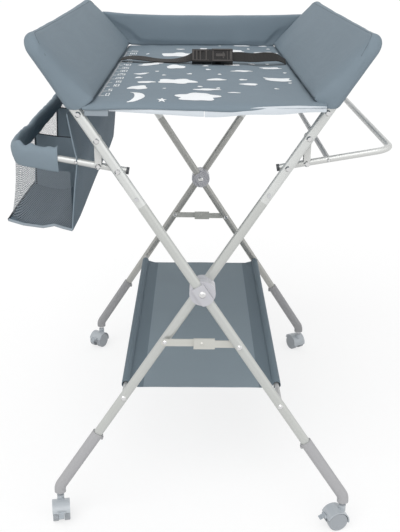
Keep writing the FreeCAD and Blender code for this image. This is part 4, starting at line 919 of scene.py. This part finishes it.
def spline_path(knots, count):
    """A smooth path of (point, tilt) through knots of (x, y, z, tilt)."""
    knots = np.array(knots, float)
    t = np.linspace(0, len(knots) - 1, count)
    spread = []
    for value in t:
        i = min(int(value), len(knots) - 2)
        f = value - i
        a, b, c, d = knots[max(i - 1, 0)], knots[i], knots[i + 1], knots[min(i + 2, len(knots) - 1)]
        square, cube = 2 * a - 5 * b + 4 * c - d, 3 * b - a - 3 * c + d
        q = 0.5 * (2 * b + (c - a) * f + square * f * f + cube * f ** 3)
        spread.append((tuple(q[:3]), q[3]))
    return spread


left_knots = [
    (-0.1885, 0.098, pad_top + 0.003, 6), (-0.168, 0.095, pad_top + 0.007, 10),
    (-0.140, 0.086, pad_top + 0.0065, 12), (-0.105, 0.070, pad_top + 0.0045, 8),
    (-0.070, 0.052, pad_top + 0.006, 12), (-0.040, 0.036, pad_top + 0.012, 28),
    (tongue_low.x + 0.004, buckle_y + 0.003, buckle_z, 45),
]
right_knots = [
    (body_high.x - 0.005, buckle_y + 0.002, buckle_z, 45), (0.088, 0.030, buckle_z - 0.001, 46),
    (0.115, 0.036, buckle_z - 0.003, 42), (0.145, 0.045, buckle_z - 0.002, 44),
    (0.168, 0.053, buckle_z - 0.004, 36), (0.184, 0.059, pad_top + 0.007, 25),
    (0.189, 0.060, pad_top + 0.004, 20),
]
webbing_width, webbing_thickness = 0.025, 0.0015
for side, body, knots, held_x in (
    ("left", "buckle_tongue", left_knots, tongue_low.x), ("right", "hub", right_knots, body_high.x),
):
    path = spline_path(knots, 70)
    strap = ribbon(f"webbing_{side}", path, webbing_width, webbing_thickness, webbing)
    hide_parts(f"strap_{side}")
    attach(strap, body)
    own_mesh(strap)

# ---- Bag --------------------------------------------------------------------
# A long bag on the left frame: a cloth band folded over the tube, net walls in
# front, outside and behind, a cloth floor and inner wall, and two cloth dividers.

bag_cloth = cloth_finish("bag_cloth", (130, 144, 154), fade=0.16)
# The floor and inner wall get a darker copy of the bag cloth as painted shade, not a separate lining.
bag_wall_painted_shade = cloth_finish("bag_cloth_painted_shade", (96, 111, 122), fade=0.18)
bag_binding = cloth_finish("bag_binding_tape", (146, 156, 164), threads=4200.0, fade=0.08)
edge_tape = cloth_finish("divider_edge_tape", (54, 58, 62), threads=4200.0, relief=0.2)

bag_cloth_thickness = 0.0009

net_finish = bpy.data.materials.new("bag_net")
net_finish.use_nodes = True
tree = net_finish.node_tree
face = tree.nodes["Principled BSDF"].inputs
spot = wire(tree, "TexCoord").outputs["Object"]
axes = wire(tree, "SeparateXYZ", {0: spot}).outputs
along = reckon(tree, "ADD", axes[0], axes[1])
net_waves = 760.0
slants = []
for way in ("ADD", "SUBTRACT"):
    turn = reckon(tree, "MULTIPLY", reckon(tree, way, along, axes[2]), net_waves)
    slants.append(reckon(tree, "ABSOLUTE", reckon(tree, "SINE", turn)))
nearest = reckon(tree, "MINIMUM", slants[0], slants[1])
edge = {"Value": nearest, "From Min": 0.30, "From Max": 0.42, "To Min": 1.0, "To Max": 0.0}
tree.links.new(wire(tree, "MapRange", edge).outputs[0], face["Alpha"])
net_tone = wire(tree, "TexNoise", {"Vector": spot, "Scale": 30.0}).outputs["Fac"]
ramp = wire(tree, "MapRange", {"Value": net_tone, "To Min": 0.92, "To Max": 1.08}).outputs[0]
tree.links.new(scaled(tree, dye(122, 130, 137)[:3], ramp), face["Base Color"])
face["Roughness"].default_value = 0.6

inner_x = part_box("bag")[1].x
rail_low, rail_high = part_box("bag_frame")
tube = 0.006
outer_x, front_y, rear_y = rail_low.x + tube, rail_low.y + tube, rail_high.y - tube
rise = math.tan(math.radians(10))
outer_z = rail_high.z - tube


def rail_z(x):
    """Height of the bag frame's middle line at x."""
    return outer_z - (x - outer_x) * rise


bend = 0.028
bend_x = outer_x + bend
band_end, arm_count = -0.262, 24
front_bend, rear_bend = np.linspace(-math.pi / 2, -math.pi, 12)[1:], np.linspace(math.pi, math.pi / 2, 12)[1:]
rail = [(x, front_y) for x in np.linspace(band_end, bend_x, arm_count)]
rail += [(bend_x + bend * math.cos(a), front_y + bend + bend * math.sin(a)) for a in front_bend]
rail += [(outer_x, y) for y in np.linspace(front_y + bend, rear_y - bend, 90)[1:]]
rail += [(bend_x + bend * math.cos(a), rear_y - bend + bend * math.sin(a)) for a in rear_bend]
rail += [(x, rear_y) for x in np.linspace(bend_x, band_end, arm_count)[1:]]
rings = []
for i, (x, y) in enumerate(rail):
    x0, y0 = rail[max(i - 1, 0)]
    x1, y1 = rail[min(i + 1, len(rail) - 1)]
    along = Vector((x1 - x0, y1 - y0, 0)).normalized()
    inward = Vector((-along.y, along.x, 0)) * -1
    z = rail_z(x)
    wave = noise.noise(Vector((x * 14, y * 14, 0.3)))
    end_share = max(0.0, 1 - min(i, len(rail) - 1 - i) / 10)
    crumple = noise.noise(Vector((x * 70, y * 3, 1.7))) if y < -0.38 else 0.0
    high = 0.0125 + 0.004 * wave + 0.012 * end_share ** 2 + (0.003 if y < -0.3 else 0) + 0.010 * crumple
    low = -0.0265 + 0.0025 * noise.noise(Vector((x * 20, y * 20, 4.0)))
    lean = 0.002 * noise.noise(Vector((x * 9, y * 9, 8.0)))
    profile = [
        (-0.0075, 0.0), (-0.0068, high * 0.55), (-0.0030 + lean, high),
        (0.0030 + lean, high), (0.0068, high * 0.55), (0.0075, 0.0),
        (0.0064, low * 0.35), (0.0032, low * 0.7), (0.0016, low),
        (-0.0016, low), (-0.0032, low * 0.7), (-0.0064, low * 0.35),
    ]
    rings.append([Vector((x, y, z)) + inward * across + Vector((0, 0, height)) for across, height in profile])
bag_band = loft("bag_band", rings, bag_cloth, ends=False)
round_off(bag_band)
ripple(bag_band, 0.0012, 0.03, 1.4)
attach(bag_band, "frame_left")
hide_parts("bag")
floor_line = [
    (-0.364, 0.677), (-0.332, 0.667), (-0.296, 0.662), (-0.275, 0.666), (-0.260, 0.661), (-0.2415, 0.656),
]


def floor_z(x, y):
    """Height of the sagging cloth floor."""
    plain = float(np.interp(x, *zip(*floor_line)))
    inside = max(0.0, min(1.0, (y - front_y) / 0.1)) * max(0.0, min(1.0, (rear_y - y) / 0.1))
    return plain - 0.001 + 0.004 * inside * math.sin((x + 0.3) * 40) * math.cos(y * 9) - 0.002 * inside


def over_bar(t, reach):
    """How far the inner wall is held out by the cross bar, a share t of the way up."""
    return float(np.interp(t, (0, 0.55, 0.62, 1), (0, reach, reach, 0)))


floor_xs = np.linspace(-0.3585, inner_x - 0.0015, 22)
wall_foot, wall_top = 0.656, 0.872
rows = []
for y in np.linspace(front_y - 0.004, rear_y + 0.004, 90):
    row = [(x, y, floor_z(x, y)) for x in floor_xs]
    near = math.exp(-(y - front_y) / 0.05)
    far = math.exp(-(rear_y - y) / 0.09)
    for t in np.linspace(0, 1, 28)[1:]:
        slack = math.sin(math.pi * t)
        wave = 0.0015 * slack * noise.noise(Vector((y * 9, t * 3, 2.0)))
        x = inner_x - 0.0015 + over_bar(t, 0.0195) - 0.004 * slack * near - 0.009 * t * far + wave
        row.append((x, y, floor_z(floor_xs[-1], y) + t * (wall_top - wall_foot)))
    rows.append(row)
# Darker cloth here is painted shade.
bag_shell = loft("bag_floor_and_wall", rows, bag_wall_painted_shade, round_ring=False)
make_cloth(bag_shell, bag_cloth_thickness)
ripple(bag_shell, 0.0010, 0.05, 6.2)
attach(bag_shell, "frame_left")

net_path = [(inner_x - 0.002, front_y), (-0.252, front_y)]
net_path += [(x, front_y) for x in np.linspace(band_end - 0.002, bend_x, 20)]
net_path += rail[arm_count:-arm_count]
net_path += [(x, rear_y) for x in np.linspace(bend_x, inner_x - 0.002, 20)]
rows = []
for x, y in net_path:
    top_z = rail_z(x) - 0.022
    out_x = x - 0.0135 * max(0.0, min(1.0, (-0.30 - x) / 0.04))
    low_z = floor_z(out_x, y)
    inward_x = 1 if x < -0.33 else 0
    inward_y = (1 if y < 0 else -1) * (0 if x < -0.34 else 1)
    row = []
    for t in np.linspace(0, 1, 14):
        curve = 0.003 * math.sin(math.pi * t)
        across = x + (out_x - x) * t + curve * inward_x
        row.append((across, y + curve * inward_y, top_z + (low_z - top_z) * t))
    rows.append(row)
bag_net = loft("bag_net_walls", rows, net_finish, round_ring=False)
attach(bag_net, "frame_left")

divider_x = -0.350
divider_run = inner_x - 0.004 + 0.350
for number, y, left_top, right_top in ((1, -0.160, 0.781, 0.772), (2, 0.130, 0.782, 0.775)):
    rows, rim = [], []
    for t in np.linspace(0, 1, 20):
        x0 = divider_x + divider_run * t
        high = left_top + (right_top - left_top) * t - 0.004 * math.sin(math.pi * t)
        row = []
        for k in np.linspace(0, 1, 14):
            x = x0 - 0.006 * (1 - k) * (1 - t)
            low = floor_z(x, y) + 0.001
            wave = 0.002 * noise.noise(Vector((x * 25, k * 2, number)))
            row.append((x, y + 0.006 * math.sin(math.pi * t) * k + wave, low + (high - low) * k))
        rows.append(row)
    divider = loft(f"bag_divider_{number}", rows, bag_cloth, round_ring=False)
    make_cloth(divider, bag_cloth_thickness)
    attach(divider, "frame_left")
    foot_z = floor_z(-0.352, y)
    tape = []
    for k in np.linspace(0, 1, 20):
        tape.append((-0.3495 - 0.003 * (1 - k), y, foot_z + 0.002 + (left_top - foot_z) * k))
    thread_line(f"bag_divider_tape_{number}", tape, 0.0016, edge_tape, "frame_left")
    for t in np.linspace(0, 1, 24):
        rise_y, sag = 0.006 * math.sin(math.pi * t), 0.004 * math.sin(math.pi * t)
        rim.append((divider_x + divider_run * t, y + rise_y, left_top + (right_top - left_top) * t - sag))
    thread_line(f"bag_divider_hem_{number}", rim, 0.0011, edge_tape, "frame_left")

hem_x, hem_out = -0.359, 0.0045
hem_xs = np.linspace(hem_x, inner_x - 0.002, 40)
hem_ys = np.linspace(front_y - 0.003, rear_y + 0.003, 80)
front_hem = [(x, front_y - hem_out, floor_z(x, front_y)) for x in hem_xs]
outer_hem = [(hem_x, y, floor_z(hem_x, y) + 0.0005) for y in hem_ys]
inner_hem = [(inner_x - 0.0018, y, floor_z(floor_xs[-1], y)) for y in hem_ys]
wall_hem = []
for t in np.linspace(0, 1, 40):
    x = inner_x - 0.002 + over_bar(t, 0.0175) - 0.004 * math.sin(math.pi * t)
    wall_hem.append((x, front_y - hem_out, 0.657 + t * 0.214))
rear_hem = [(x, rear_y + hem_out, floor_z(x, rear_y)) for x in hem_xs]
for name, path, radius, finish in (
    ("front", front_hem, 0.0027, bag_binding), ("outer", outer_hem, 0.0018, edge_tape),
    ("inner", inner_hem, 0.0013, bag_cloth), ("wall", wall_hem, 0.0012, bag_cloth),
    ("rear", rear_hem, 0.0022, bag_binding),
):
    thread_line(f"bag_{name}_binding", path, radius, finish, "frame_left")

# ---- Shelf sling ------------------------------------------------------------
# One panel of cloth with a hem round each low rod and a darker border along it.
# It lies nearly flat, a little lower than the rods, and folds down the middle.

sling_low, sling_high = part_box("shelf_sling")
rod_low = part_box("shelf_rod_right")[0]
rod_x, rod_z = rod_low.x + 0.005, rod_low.z + 0.005
shelf_z = rod_z - 0.006
hem_radius = 0.0082
shelf_cloth = cloth_finish("shelf_cloth", (138, 151, 159), fade=0.14)
shelf_border = cloth_finish("shelf_border_cloth", (110, 124, 133), fade=0.1)


def sling_line(y):
    """Half of the sling's cross line, from its middle out to the rod and round it."""
    share = (y - sling_low.y) / (sling_high.y - sling_low.y)
    flat_end = rod_x - 0.026
    line = []
    for t in np.linspace(0, 1, 26):
        x = flat_end * t
        sag = 0.003 * math.cos(math.pi / 2 * t) * math.sin(math.pi * share)
        line.append((x, shelf_z - sag + 0.0010 * noise.noise(Vector((x * 16, y * 7, 1.0)))))
    for t in np.linspace(0, 1, 9)[1:]:
        x = flat_end + (rod_x - hem_radius - flat_end) * t
        line.append((x, shelf_z + (rod_z - 0.001 - shelf_z) * (t ** 1.15)))
    for a in np.linspace(math.pi, -math.pi * 0.72, 22)[1:]:
        line.append((rod_x + hem_radius * math.cos(a), rod_z + hem_radius * math.sin(a)))
    return line


sling_ys = np.linspace(sling_low.y - 0.008, sling_high.y - 0.0005, 90)
for side, sign, frame_side in (("right", 1, "left"), ("left", -1, "right")):
    rows = [[(sign * x, y, z) for x, z in sling_line(y)] for y in sling_ys]
    half = loft(f"shelf_sling_{side}", rows, shelf_cloth, shelf_border, round_ring=False)
    for face in half.data.polygons:
        face.material_index = 1 if abs(face.center.x) > rod_x - 0.036 else 0
    make_cloth(half, 0.0013)
    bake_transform(half)
    if side == "right":
        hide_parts("shelf_sling")
